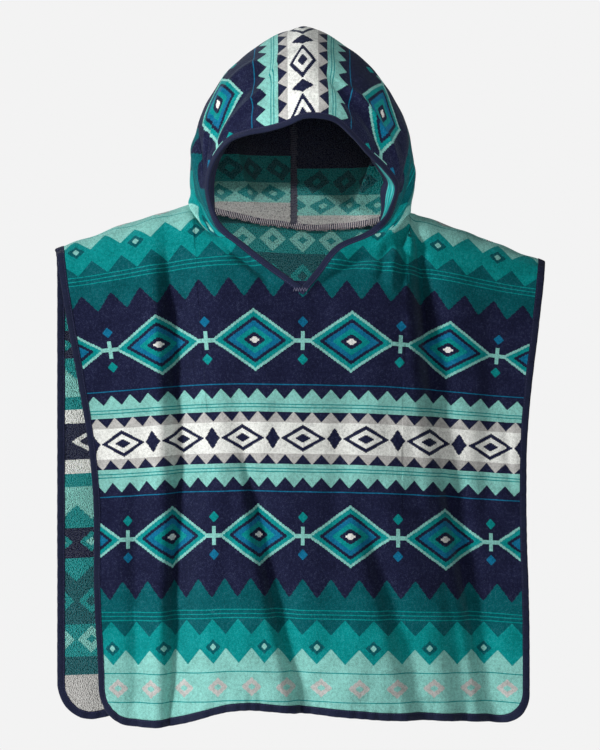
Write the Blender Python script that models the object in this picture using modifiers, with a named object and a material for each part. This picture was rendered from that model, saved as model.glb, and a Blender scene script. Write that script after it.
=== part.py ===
"""Child's hooded towel poncho: two body panels, a hood and their twill bindings.

The towel keeps the hollow form it has when worn, with its sides open below sloped shoulder
seams. Metres, +Z up, +X to the right as seen from the front, the front faces -Y. The origin is
the middle of the neck base, level with the tops of the shoulders.

A body panel is laid out flat as (x, v): x across from the centre line, v down the cloth from
the neck. The hood is laid out as (turn, rise): turn from the face round to the back seam, rise
from the neck seam up to the fold over the head.
"""

import math

import bmesh
import bpy
import numpy as np

NAME = "hooded_towel"

# Cloth.
CLOTH_THICKNESS = 0.003
TAPE_THICKNESS = 0.004
TAPE_WIDTH = 0.010
SEAM_GAP = 0.0005
TAPE_END_GAP = 0.0008
RIDGE_GAP = 0.0003
RIM_GAP = 0.0010

# Body panels, flat.
HALF_WIDTH = 0.317
FRONT_LENGTH = 0.692
BACK_LENGTH = 0.684
CORNER_RADIUS = 0.050
SHOULDER_CUT = 0.053
NECK_HALF_WIDTH = 0.138
BACK_NECK_DROP = 0.066
NECK_RECESS = 0.0028
SLIT_RECESS = 0.0008
SCOOP_RECESS = 0.0019

# Body panels, worn.
NECK_HEIGHT = 0.006
TIP_HEIGHT = -0.055
SHOULDER_ROUND = 0.15
SHOULDER_TILT = 0.008
TILT_REACH = 0.15
FRONT_DEPTH = 0.090
BACK_DEPTH = 0.086
TIP_DEPTH = 0.036
DEPTH_START = 0.07
DEPTH_SPAN = 0.25
TURN_SPAN = 3.0
TURN_STEPS = 301

# How far the corners of the hem are drawn up: the height, then v and x over which it grows.
HEM_LIFT = 0.017
LIFT_START = 0.33
LIFT_SPAN = 0.36
LIFT_WIDTH = 0.30

# How the sides draw in below the shoulders: the amount, v where it starts and the length it takes.
RIGHT_TUCK = 0.005
RIGHT_DRAW = ((0.028, 0.0, 0.34), (-0.004, 0.38, 0.20))
FRONT_LEFT_DRAW = ((0.052, 0.0, 0.42), (0.006, 0.50, 0.15))
BACK_RIGHT_DRAW = RIGHT_DRAW + ((0.008, 0.0, 0.20),)

# The slit below the chin, from its point up to the hood's front corners: distance from the
# centre line and height, on the left and on the right.
SLIT = (
    (0.000, -0.104, 0.000, -0.104),
    (0.050, -0.069, 0.023, -0.078),
    (0.077, -0.048, 0.049, -0.048),
    (0.097, -0.033, 0.092, -0.029),
)

# Hood.
HOOD_HALF_WIDTH = 0.1455
HOOD_BASE = 0.030
HOOD_FRONT_REACH = 0.100
HOOD_BACK_REACH = 0.135
ARCH_POWER = 1.25
ARCH_HEIGHT_POWER = 0.9
FRONT_ROUND_POWER = 0.60
BACK_ROUND_POWER = 0.75
SEAT_POWER = 4
FACE_TURN = math.radians(-50)
BACK_TURN = math.radians(90)

# The fold over the head: turn in degrees, y and z.
CROWN = (
    (-50, -0.126, 0.117),
    (-36, -0.100, 0.158),
    (-18, -0.055, 0.207),
    (0, -0.012, 0.233),
    (30, 0.030, 0.239),
    (90, 0.078, 0.226),
)

# The hood's front edge, from above its corners to the top: distance from the centre line and
# height on the left, the same on the right, and y.
RIM = (
    (0.108, -0.018, 0.107, -0.010, -0.074),
    (0.117, 0.006, 0.116, 0.012, -0.075),
    (0.121, 0.035, 0.119, 0.034, -0.079),
    (0.109, 0.071, 0.104, 0.055, -0.089),
    (0.090, 0.091, 0.084, 0.073, -0.100),
    (0.069, 0.098, 0.064, 0.094, -0.110),
    (0.044, 0.102, 0.039, 0.114, -0.118),
    (0.019, 0.109, 0.019, 0.118, -0.124),
)

# Valleys in the hanging cloth: x at the top, middle and hem, then v where the valley starts and
# ends, half width and depth. Each takes a length to form and one to fade to a part of its depth.
FOLD_START_SPAN = 0.16
FOLD_END_SPAN = 0.12
FOLD_END_LOSS = 0.35
FRONT_FOLDS = (
    (-0.178, -0.184, -0.208, 0.04, 0.68, 0.026, 0.014),
    (0.148, 0.170, 0.196, 0.04, 0.69, 0.026, 0.013),
    (-0.050, -0.060, -0.045, 0.50, 0.72, 0.020, 0.010),
    (0.080, 0.102, 0.100, 0.48, 0.70, 0.022, 0.008),
    (0.190, 0.215, 0.238, 0.40, 0.70, 0.022, 0.007),
    (-0.262, -0.248, -0.262, 0.35, 0.70, 0.022, 0.006),
)
BACK_FOLDS = (
    (-0.150, -0.165, -0.186, 0.06, 0.68, 0.030, 0.011),
    (0.140, 0.160, 0.190, 0.06, 0.68, 0.030, 0.012),
    (0.020, 0.012, 0.000, 0.34, 0.70, 0.030, 0.009),
    (-0.240, -0.236, -0.230, 0.45, 0.70, 0.024, 0.006),
)

# Where the hem sags between the folds: x, half width and drop, then v over which a sag grows.
SAG_START = 0.35
SAG_SPAN = 0.35
FRONT_SAGS = (
    (-0.205, 0.080, 0.020),
    (0.110, 0.060, 0.006),
    (0.275, 0.060, -0.008),
)
BACK_SAGS = (
    (-0.270, 0.090, 0.018),
    (0.150, 0.070, 0.006),
)

# Mesh steps.
SLIT_COLUMNS = len(SLIT) - 1
SEAM_COLUMNS = 5
FRONT_NECK_COLUMNS = SLIT_COLUMNS + SEAM_COLUMNS
BACK_NECK_COLUMNS = 6
SHOULDER_COLUMNS = 5
CORNER_COLUMNS = 4
FRONT_ROWS = 20
BACK_ROWS = 16
HOOD_RISE_STEPS = 15
SLIT_TAPE_STEPS = 2 * SLIT_COLUMNS
ROW_POWER = 1.5
MERGE = 0.00005
NUDGE = 0.004
DROP_LEVELS = 121
LONGEST_DROP = 0.24

# The face opening's tape at its lowest point, where both sides meet in a mitre, and at its top.
MITRE_ANGLE = math.radians(42)
TOP_INWARD = (0.0, -0.4, -0.9)


def smooth(value):
    """Ease a value from 0 to 1, level at both ends."""
    held = np.clip(value, 0.0, 1.0)
    return held * held * (3.0 - 2.0 * held)


def turn_profile():
    """Work out how cloth turns from level to hanging, for a turn of unit size.

    The angle to the vertical falls from 90 degrees as a bell curve of the distance along the
    cloth. Returns the distances, the reach forward and the drop.
    """
    distance = np.linspace(0.0, TURN_SPAN, TURN_STEPS)
    angle = 0.5 * math.pi * np.exp(-distance ** 2)
    step = distance[1] - distance[0]
    middle = 0.5 * (angle[1:] + angle[:-1])
    reach = np.concatenate(([0.0], np.cumsum(np.sin(middle)) * step))
    drop = np.concatenate(([0.0], np.cumsum(np.cos(middle)) * step))
    return distance, reach, drop


TURN_DISTANCE, TURN_REACH, TURN_DROP = turn_profile()


def outer_share(x):
    """Return 0 over the neck and 1 at a shoulder's tip."""
    return np.clip((np.abs(x) - NECK_HALF_WIDTH) / (HALF_WIDTH - NECK_HALF_WIDTH), 0.0, 1.0)


def shoulder_cut(x):
    """Return v along the shoulder seam, where the panel is cut to a slope."""
    return SHOULDER_CUT * outer_share(x)


def shoulder_height(x):
    """Return z along the shoulder seam: it slopes to the tip and rounds off near the neck."""
    share = outer_share(x)
    slope = (1.0 - SHOULDER_ROUND) * share + SHOULDER_ROUND * share ** 2
    tilt = SHOULDER_TILT * np.tanh(x / TILT_REACH)
    return NECK_HEIGHT + (TIP_HEIGHT - NECK_HEIGHT) * slope - tilt


def body_depth(x, side):
    """Return how far a hanging panel stands from the seam's plane."""
    middle = FRONT_DEPTH if side < 0 else BACK_DEPTH
    return middle + (TIP_DEPTH - middle) * smooth((np.abs(x) - DEPTH_START) / DEPTH_SPAN)


def drawn_in(v, rows):
    """Return how far a side is drawn in, by a table of amounts, starts and lengths."""
    return sum(amount * smooth((v - start) / span) for amount, start, span in rows)


def half_width(x, v, side):
    """Return a panel's worn half width: folds draw the sides in below the shoulders."""
    left = HALF_WIDTH - (drawn_in(v, FRONT_LEFT_DRAW) if side < 0 else 0.0)
    right = HALF_WIDTH - RIGHT_TUCK - drawn_in(v, RIGHT_DRAW if side < 0 else BACK_RIGHT_DRAW)
    return np.where(x < 0.0, left, right)


def fold_depth(x, v, side):
    """Sum the valleys: each runs down a curved line and fades in and out along it."""
    total = 0.0
    share = np.clip(v / FRONT_LENGTH, 0.0, 1.0)
    for top, middle, hem, start, end, spread, depth in FRONT_FOLDS if side < 0 else BACK_FOLDS:
        bend = 2 * (top + hem - 2 * middle)
        centre = top + (hem - top - bend) * share + bend * share ** 2
        fade = FOLD_END_LOSS * smooth((v - end + FOLD_END_SPAN) / FOLD_END_SPAN)
        strength = smooth((v - start) / FOLD_START_SPAN) * (1.0 - fade)
        total = total + depth * strength * np.exp(-((x - centre) / spread) ** 2)
    return total


def hem_sag(x, v, side):
    """Return how far the lower cloth sags between the folds."""
    total = 0.0
    for centre, spread, drop in FRONT_SAGS if side < 0 else BACK_SAGS:
        total = total + drop * np.exp(-((x - centre) / spread) ** 2)
    return total * smooth((v - SAG_START) / SAG_SPAN)


def body_point(x, v, side):
    """Place the flat point (x, v) of a panel in space. Side is -1 for the front, 1 for the back."""
    size = body_depth(x, side) / TURN_REACH[-1]
    along = (v - shoulder_cut(x)) / size
    beyond = np.maximum(along - TURN_DISTANCE[-1], 0.0)
    reach = size * np.interp(along, TURN_DISTANCE, TURN_REACH)
    drop = size * (np.interp(along, TURN_DISTANCE, TURN_DROP) + beyond)
    lift = HEM_LIFT * smooth((v - LIFT_START) / LIFT_SPAN) * smooth(np.abs(x) / LIFT_WIDTH)
    y = side * (reach - fold_depth(x, v, side))
    z = shoulder_height(x) - drop + lift - hem_sag(x, v, side)
    return x * half_width(x, v, side) / HALF_WIDTH, y, z


def drop_to_height(x, height):
    """Return v where the front panel's column x reaches a height."""
    levels = np.linspace(0.0, LONGEST_DROP, DROP_LEVELS)
    heights = body_point(x, levels, -1)[2]
    return float(np.interp(-height, -heights, levels))


def front_neck(station, sign):
    """Return a flat point of the front neckline: up the slit, then the hood's seam to the shoulder.

    Stations count the panel's columns from the centre line. Sign is -1 on the left, 1 on the right.
    """
    column = 0 if sign < 0 else 2
    rows = range(len(SLIT))
    x = float(np.interp(station, rows, [row[column] for row in SLIT]))
    height = float(np.interp(station, rows, [row[column + 1] for row in SLIT]))
    angle = 0.5 * math.pi * max(station - SLIT_COLUMNS, 0.0) / SEAM_COLUMNS
    x += (NECK_HALF_WIDTH - SLIT[-1][column]) * math.sin(angle)
    top = shoulder_height(sign * NECK_HALF_WIDTH)
    height += (top - SLIT[-1][column + 1]) * (1.0 - math.cos(angle))
    return sign * x, drop_to_height(sign * x, height)


def back_neck(station, sign):
    """Return a flat point of the back neckline, a half ellipse."""
    angle = 0.5 * math.pi * station / BACK_NECK_COLUMNS
    return sign * NECK_HALF_WIDTH * math.sin(angle), BACK_NECK_DROP * math.cos(angle)


def neck_columns(side):
    """Return how many columns a half of a panel has along its neckline."""
    return FRONT_NECK_COLUMNS if side < 0 else BACK_NECK_COLUMNS


def column_base(column, side, sign):
    """Return a panel column's x and top, and its angle round the hem's corner."""
    necks = neck_columns(side)
    inner = NECK_HALF_WIDTH + NECK_RECESS
    outer = HALF_WIDTH - CORNER_RADIUS
    if column < necks - 0.5:
        x, v = (front_neck if side < 0 else back_neck)(column, sign)
        recess = SLIT_RECESS if side < 0 else SCOOP_RECESS
        return x * inner / NECK_HALF_WIDTH, v + recess, 0.0
    step = max(column - necks, 0.0)
    x = inner + (outer - inner) * min(step / SHOULDER_COLUMNS, 1.0)
    angle = 0.5 * math.pi * max(step - SHOULDER_COLUMNS, 0.0) / CORNER_COLUMNS
    x += (CORNER_RADIUS - TAPE_WIDTH - SEAM_GAP) * math.sin(angle)
    return sign * x, float(shoulder_cut(x)) + RIDGE_GAP, angle


def row_share(down):
    """Crowd a panel's rows together near the shoulders, where the cloth turns."""
    return down ** ROW_POWER


def half_columns(side):
    """Return how many columns a half of a panel has."""
    return neck_columns(side) + SHOULDER_COLUMNS + CORNER_COLUMNS


def panel_point(across, down, side, length):
    """Place a point of a body panel, with across and down running from 0 to 1."""
    signed = round((2.0 * across - 1.0) * half_columns(side))
    x, top, angle = column_base(abs(signed), side, math.copysign(1.0, signed))
    inset = TAPE_WIDTH + SEAM_GAP
    bottom = length - CORNER_RADIUS + (CORNER_RADIUS - inset) * math.cos(angle)
    return body_point(x, top + (bottom - top) * row_share(down), side)


def edge_half(side, sign, length, rows, inset):
    """Walk half of a panel's hem and one side from the centre line to the shoulder's tip.

    The stations match the panel's own rows and columns, so tape and panel turn together.
    """
    points = []
    for column in range(neck_columns(side) + SHOULDER_COLUMNS + 1):
        points.append((column_base(column, side, sign)[0], length - inset))
    radius = CORNER_RADIUS - inset
    for step in range(1, 2 * CORNER_COLUMNS + 1):
        angle = 0.5 * math.pi * step / (2 * CORNER_COLUMNS)
        x = HALF_WIDTH - CORNER_RADIUS + radius * math.sin(angle)
        points.append((sign * x, length - CORNER_RADIUS + radius * math.cos(angle)))
    x = HALF_WIDTH - inset
    top = float(shoulder_cut(x)) + TAPE_END_GAP
    for row in range(rows - 1, -1, -1):
        points.append((sign * x, top + (length - CORNER_RADIUS - top) * row_share(row / rows)))
    return points


def edge_stations(side, length, rows, inset):
    """Walk a panel's sides and hem from the left shoulder's tip to the right one, as flat points."""
    left = edge_half(side, -1, length, rows, inset)
    return left[:0:-1] + edge_half(side, 1, length, rows, inset)


def neck_point(turn, sign):
    """Place the hood's neck seam: from its front corner to the shoulder, then round the back."""
    if turn < 0.0:
        x, v = front_neck(FRONT_NECK_COLUMNS - SEAM_COLUMNS * turn / FACE_TURN, sign)
        return np.array(body_point(x, v, -1))
    x, v = back_neck(BACK_NECK_COLUMNS * (1.0 - turn / BACK_TURN), sign)
    return np.array(body_point(x, v, 1))


def rim_point(rise, sign):
    """Place a point of the hood's front edge, with rise from 0 at its corner to 1 at the top."""
    corner = neck_point(FACE_TURN, sign)
    column = 0 if sign < 0 else 2
    x = [abs(corner[0])] + [row[column] for row in RIM] + [0.0]
    y = [corner[1]] + [row[4] for row in RIM] + [CROWN[0][1]]
    z = [corner[2]] + [row[column + 1] for row in RIM] + [CROWN[0][2]]
    length = np.concatenate(([0.0], np.cumsum(np.hypot(np.diff(x), np.diff(z)))))
    at = [np.interp(rise * length[-1], length, values) for values in (x, y, z)]
    return np.array([sign * at[0], at[1], at[2]])


def arch_point(turn, rise, sign):
    """Place a point of the hood's free form: an arch with a soft point, wider at its base."""
    angle = 0.5 * math.pi * rise ** ARCH_POWER
    round_off = FRONT_ROUND_POWER if turn < 0.0 else BACK_ROUND_POWER
    width = HOOD_HALF_WIDTH * math.cos(turn) ** round_off
    side_y = (HOOD_FRONT_REACH if turn < 0.0 else HOOD_BACK_REACH) * math.sin(turn)
    degrees = [row[0] for row in CROWN]
    crown_y = np.interp(math.degrees(turn), degrees, [row[1] for row in CROWN])
    crown_z = np.interp(math.degrees(turn), degrees, [row[2] for row in CROWN])
    spread = math.cos(angle) ** ARCH_POWER if rise < 1.0 else 0.0
    z = HOOD_BASE + (crown_z - HOOD_BASE) * math.sin(angle) ** ARCH_HEIGHT_POWER
    return np.array([sign * width * spread, crown_y + (side_y - crown_y) * spread, z])


def seated_arch(turn, rise, sign):
    """Draw the foot of an arch in to the neck seam."""
    pull = neck_point(turn, sign) - arch_point(turn, 0.0, sign)
    return arch_point(turn, rise, sign) + pull * (1.0 - rise) ** SEAT_POWER


def hood_point(turn, rise, sign):
    """Place a point of the hood: its arches, drawn in to the front edge too."""
    back_share = (turn - FACE_TURN) / (BACK_TURN - FACE_TURN)
    pull = rim_point(rise, sign) - seated_arch(FACE_TURN, rise, sign)
    return seated_arch(turn, rise, sign) + pull * (1.0 - back_share) ** SEAT_POWER


def hood_grid_point(across, back):
    """Place a point of the hood's grid: across from the left neck over the head to the right."""
    signed = 2.0 * across - 1.0
    row = round(back * (SEAM_COLUMNS + BACK_NECK_COLUMNS))
    if row <= SEAM_COLUMNS:
        turn = FACE_TURN * (1.0 - row / SEAM_COLUMNS)
    else:
        turn = BACK_TURN * (row - SEAM_COLUMNS) / BACK_NECK_COLUMNS
    return hood_point(turn, 1.0 - abs(signed), math.copysign(1.0, signed))


def opening_point(station, sign):
    """Place the face opening's edge, from the slit's point up to the top of the hood."""
    if station <= SLIT_TAPE_STEPS:
        x, v = front_neck(station * SLIT_COLUMNS / SLIT_TAPE_STEPS, sign)
        return np.array(body_point(x, v, -1))
    return rim_point((station - SLIT_TAPE_STEPS) / HOOD_RISE_STEPS, sign)


def cloth_normal(station, sign):
    """Return the outward normal of the cloth that the opening's tape edges."""
    if station < SLIT_TAPE_STEPS:
        x, v = front_neck(station * SLIT_COLUMNS / SLIT_TAPE_STEPS, sign)
        here = np.array(body_point(x, v, -1))
        across = np.array(body_point(x + NUDGE, v, -1)) - here
        down = np.array(body_point(x, v + NUDGE, -1)) - here
        normal = np.cross(across, -down)
    else:
        rise = min((station - SLIT_TAPE_STEPS) / HOOD_RISE_STEPS, 0.98)
        here = hood_point(FACE_TURN, rise, sign)
        back = hood_point(FACE_TURN + NUDGE, rise, sign) - here
        up = hood_point(FACE_TURN, rise + NUDGE, sign) - here
        normal = np.cross(back, up) * sign
    return normal / np.linalg.norm(normal)


def rim_tape_point(around, inward):
    """Place a point of the face opening's tape, which runs on from the cloth it edges."""
    half = SLIT_TAPE_STEPS + HOOD_RISE_STEPS
    signed = (2.0 * around - 1.0) * half
    station = half - abs(signed)
    sign = math.copysign(1.0, signed)
    here = opening_point(station, sign)
    distance = RIM_GAP + (TAPE_WIDTH - RIM_GAP) * inward
    if station < 0.5:
        return here + np.array([0.0, 0.0, distance / math.cos(MITRE_ANGLE)])
    if station > half - 0.5:
        return here + np.array(TOP_INWARD) * distance
    along = opening_point(station + 0.5, sign) - opening_point(station - 0.5, sign)
    normal = cloth_normal(station - 0.5, sign) + cloth_normal(station + 0.5, sign)
    across = np.cross(normal, along) * sign
    return here + across / np.linalg.norm(across) * distance


def material(name, colour, roughness):
    """Make a plain cloth material."""
    made = bpy.data.materials.new(name)
    made.use_nodes = True
    shader = made.node_tree.nodes["Principled BSDF"]
    shader.inputs["Base Color"].default_value = (*colour, 1.0)
    shader.inputs["Roughness"].default_value = roughness
    shader.inputs["Metallic"].default_value = 0.0
    return made


def sheet(name, columns, rows, place, thickness, finish, collection):
    """Make a cloth piece: a flat grid laid over a surface and given its thickness.

    Place takes the grid's two shares, from 0 to 1, and returns a point in space.
    """
    form = bmesh.new()
    bmesh.ops.create_grid(form, x_segments=columns, y_segments=rows, size=0.5)
    for vertex in form.verts:
        vertex.co = place(vertex.co.x + 0.5, vertex.co.y + 0.5)
    bmesh.ops.remove_doubles(form, verts=form.verts, dist=MERGE)
    mesh = bpy.data.meshes.new(name)
    form.to_mesh(mesh)
    form.free()
    mesh.shade_smooth()
    mesh.materials.append(finish)
    piece = bpy.data.objects.new(name, mesh)
    collection.objects.link(piece)
    wall = piece.modifiers.new("Wall", "SOLIDIFY")
    wall.thickness = thickness
    wall.offset = 0.0
    wall.use_even_offset = True
    return piece


def build_panel(name, side, length, rows, finish, collection):
    """Make a body panel."""
    def place(across, down):
        return panel_point(across, down, side, length)
    return sheet(name, 2 * half_columns(side), rows, place, CLOTH_THICKNESS, finish, collection)


def build_edge_tape(name, side, length, rows, finish, collection):
    """Make the tape along a body panel's sides and hem."""
    outer = edge_stations(side, length, rows, 0.0)
    inner = edge_stations(side, length, rows, TAPE_WIDTH)

    def place(along, inward):
        station = round(along * (len(outer) - 1))
        x = outer[station][0] + (inner[station][0] - outer[station][0]) * inward
        v = outer[station][1] + (inner[station][1] - outer[station][1]) * inward
        return body_point(x, v, side)
    return sheet(name, len(outer) - 1, 1, place, TAPE_THICKNESS, finish, collection)


def main():
    """Build the towel."""
    for old in list(bpy.data.objects):
        bpy.data.objects.remove(old, do_unlink=True)
    collection = bpy.data.collections.new(NAME)
    bpy.context.scene.collection.children.link(collection)

    navy = material("navy velour", (0.017, 0.019, 0.058), 0.9)
    teal = material("teal velour", (0.003, 0.262, 0.242), 0.9)
    mint = material("mint velour", (0.242, 0.566, 0.515), 0.9)
    twill = material("navy twill", (0.010, 0.013, 0.045), 0.8)

    build_panel("front_panel", -1, FRONT_LENGTH, FRONT_ROWS, navy, collection)
    build_panel("back_panel", 1, BACK_LENGTH, BACK_ROWS, teal, collection)
    sheet("hood", 2 * HOOD_RISE_STEPS, SEAM_COLUMNS + BACK_NECK_COLUMNS, hood_grid_point,
          CLOTH_THICKNESS, mint, collection)
    sheet("hood_binding", 2 * (SLIT_TAPE_STEPS + HOOD_RISE_STEPS), 1, rim_tape_point,
          TAPE_THICKNESS, twill, collection)
    build_edge_tape("front_binding", -1, FRONT_LENGTH, FRONT_ROWS, twill, collection)
    build_edge_tape("back_binding", 1, BACK_LENGTH, BACK_ROWS, twill, collection)


main()
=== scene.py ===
"""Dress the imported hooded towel: cloth with its folds, twill bindings, seams, stitches and finishes.

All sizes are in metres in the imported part's frame: +Z up, +X to the right as seen from the
front, the front faces -Y, and the origin is the middle of the neck base.

A body panel is laid out flat as (x, v): x across from the centre line, v down the cloth from the
neck. The hood is laid out as (turn, rise): turn from the face round to the back seam, rise from
the neck seam up to the fold over the head.
"""

import logging
import math
from dataclasses import dataclass, field
from enum import Enum
from functools import partialmethod
from typing import Callable

import bmesh
import bpy
import numpy as np
from bpy.types import ColorRamp, Light, Material, Node, NodeSocket, Object
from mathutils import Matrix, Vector

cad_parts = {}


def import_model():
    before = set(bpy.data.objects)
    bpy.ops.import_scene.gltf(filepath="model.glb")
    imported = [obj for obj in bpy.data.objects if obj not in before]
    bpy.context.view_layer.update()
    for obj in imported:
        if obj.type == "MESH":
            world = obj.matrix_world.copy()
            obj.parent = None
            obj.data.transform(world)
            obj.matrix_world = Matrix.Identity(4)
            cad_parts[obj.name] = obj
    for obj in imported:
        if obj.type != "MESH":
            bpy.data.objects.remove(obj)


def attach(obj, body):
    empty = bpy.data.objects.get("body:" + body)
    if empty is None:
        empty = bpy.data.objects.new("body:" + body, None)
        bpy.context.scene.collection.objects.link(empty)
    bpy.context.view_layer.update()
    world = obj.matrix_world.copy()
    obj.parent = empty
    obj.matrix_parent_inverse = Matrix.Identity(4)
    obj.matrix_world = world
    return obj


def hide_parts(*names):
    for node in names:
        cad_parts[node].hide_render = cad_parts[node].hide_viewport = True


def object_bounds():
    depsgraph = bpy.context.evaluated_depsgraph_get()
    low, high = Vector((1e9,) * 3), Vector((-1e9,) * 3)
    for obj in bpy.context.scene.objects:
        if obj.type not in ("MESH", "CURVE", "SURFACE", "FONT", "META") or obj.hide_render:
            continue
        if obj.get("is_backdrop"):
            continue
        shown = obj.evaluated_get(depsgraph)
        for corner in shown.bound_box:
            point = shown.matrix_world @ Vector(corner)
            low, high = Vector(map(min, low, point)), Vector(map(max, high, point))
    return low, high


LOG = logging.getLogger("hooded_towel")
BODY = "root"
CELL = 0.0013  # one step of the weave
MERGE = 2e-6  # doubles nearer than this are merged
TINY = 1e-12
NUDGE = 0.001  # the step across the cloth for a normal
NECK_REACH = 0.24  # v within which the neckline lies
HALVINGS = 32
QUARTER = 0.5 * math.pi
Array = np.ndarray
Arrays = tuple[Array, ...]
Pair = tuple[float, float]
Triple = tuple[float, float, float]
Four = tuple[float, float, float, float]
frozen = dataclass(frozen=True)


# ---- Small maths ----


def smooth(value: Array) -> Array:
    """Ease a value from 0 to 1, level at both ends: t^2 (3 - 2t)."""
    held = np.clip(value, 0.0, 1.0)
    return held * held * (3.0 - 2.0 * held)


def bell(offset: Array, spread: float) -> Array:
    """Return a bell curve of an offset: exp(-(offset / spread)^2)."""
    return np.exp(-((offset / spread) ** 2))


def shares(count: int) -> Array:
    """Return evenly spaced shares from 0 to 1."""
    return np.linspace(0.0, 1.0, count)


def pack(*parts: Array) -> Array:
    """Stack arrays as the last axis, each spread to the shape of all."""
    return np.stack(np.broadcast_arrays(*parts), axis=-1)


def chain(*parts: Array) -> Array:
    """Join arrays end to end."""
    return np.concatenate(parts)


def unit(vectors: Array) -> Array:
    """Scale vectors to length 1 along their last axis."""
    return vectors / np.maximum(np.linalg.norm(vectors, axis=-1, keepdims=True), TINY)


def through(knots: Array, values: Array, at: Array) -> Array:
    """Read a smooth curve through a few points.

    Between two knots it is the cubic that has the chords' slopes at both:
    (1 + 2t)(1 - t)^2 a + t (1 - t)^2 h p + t^2 (3 - 2t) b - t^2 (1 - t) h q.

    Args:
        knots: Rising places of the points, shape (n,).
        values: The points, shape (n,) or (n, k).
        at: Places to read, any shape.

    Returns:
        The curve there, of at's shape, with k behind it where values have it.
    """
    knots = np.asarray(knots, float)
    values = np.asarray(values, float)
    slopes = np.gradient(values, knots, axis=0)
    held = np.clip(at, knots[0], knots[-1])
    index = np.clip(np.searchsorted(knots, held, side="right") - 1, 0, len(knots) - 2)
    step = knots[index + 1] - knots[index]
    t = (held - knots[index]) / step
    if values.ndim > 1:
        t = t[..., None]
        step = step[..., None]
    start = (1 + 2 * t) * (1 - t) ** 2 * values[index] + t * (1 - t) ** 2 * step * slopes[index]
    end = t ** 2 * (3 - 2 * t) * values[index + 1] - t ** 2 * (1 - t) * step * slopes[index + 1]
    return start + end


def path_length(points: Array) -> Array:
    """Return how far each point lies along its path, which runs down the first axis."""
    steps = np.linalg.norm(np.diff(points, axis=0, prepend=points[:1]), axis=-1)
    return np.cumsum(steps, axis=0)


def evenly(points: Array, spacing: float) -> Arrays:
    """Return the places along a path that cut it into equal steps near a spacing, and its length."""
    length = path_length(points)
    count = max(2, round(length[-1] / spacing) + 1)
    return np.interp(np.linspace(0.0, length[-1], count), length, np.arange(len(points))), length


def grid_normals(points: Array) -> Array:
    """Return the unit normals of a grid of points: the cross product of its two steps."""
    across = np.gradient(points, axis=1)
    down = np.gradient(points, axis=0)
    return unit(np.cross(across, -down))


@frozen
class Turn:
    """How cloth turns from level to hanging, for a turn of unit size.

    The angle to the vertical is 90 degrees times exp(-d^2), with d the distance along the cloth.
    Past the last distance the cloth hangs straight.
    """

    distance: Array = field(default_factory=lambda: np.linspace(0.0, 3.0, 301))

    def angle(self, distance: Array) -> Array:
        """Return the cloth's angle to the vertical at a distance."""
        return QUARTER * np.exp(-np.maximum(distance, 0.0) ** 2)

    def summed(self, part: Callable[[Array], Array]) -> Array:
        """Add up the sine or cosine of the angle along the cloth."""
        angle = self.angle(self.distance)
        middle = 0.5 * (angle[1:] + angle[:-1])
        return chain([0.0], np.cumsum(part(middle)) * self.distance[1])

    def reach(self, distance: Array) -> Array:
        """Return how far forward the cloth has come."""
        return np.interp(distance, self.distance, self.summed(np.sin))

    def drop(self, distance: Array) -> Array:
        """Return how far down the cloth has come."""
        beyond = np.maximum(distance - self.distance[-1], 0.0)
        return np.interp(distance, self.distance, self.summed(np.cos)) + beyond


TURN = Turn()
FULL_REACH = float(TURN.reach(TURN.distance[-1]))


# ---- The cloth's form ----


class Side(Enum):
    """A body panel, as the sign of the way it faces along Y."""

    FRONT = -1
    BACK = 1


@frozen
class Fold:
    """A valley down a hanging panel.

    Attributes:
        top, middle, hem: x of its line at the top, half way and the hem.
        start, end: v where it starts and where it fades.
        spread: Half width.
        skew: Share by which its left wall is steeper than its right one.
        forming, fading: Lengths in which it forms and fades.
        faded: Share of its depth that it loses there.
    """

    top: float
    middle: float
    hem: float
    start: float
    end: float
    spread: float
    depth: float
    skew: float = 0.0
    forming: float = 0.16
    fading: float = 0.12
    faded: float = 0.35

    def sink(self, x: Array, v: Array, length: float) -> Array:
        """Return how deep the valley is at a flat point: a bell curve across a curved line."""
        share = np.clip(v / length, 0.0, 1.0)
        first = 4 * self.middle - 3 * self.top - self.hem
        second = 2 * (self.top + self.hem - 2 * self.middle)
        centre = self.top + first * share + second * share ** 2
        fade = 1.0 - self.faded * smooth((v - self.end + self.fading) / self.fading)
        offset = x - centre
        reach = self.spread * np.where(offset < 0.0, 1.0 - self.skew, 1.0 + self.skew)
        formed = smooth((v - self.start) / self.forming)
        return self.depth * formed * fade * bell(offset / reach, 1.0)


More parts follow.
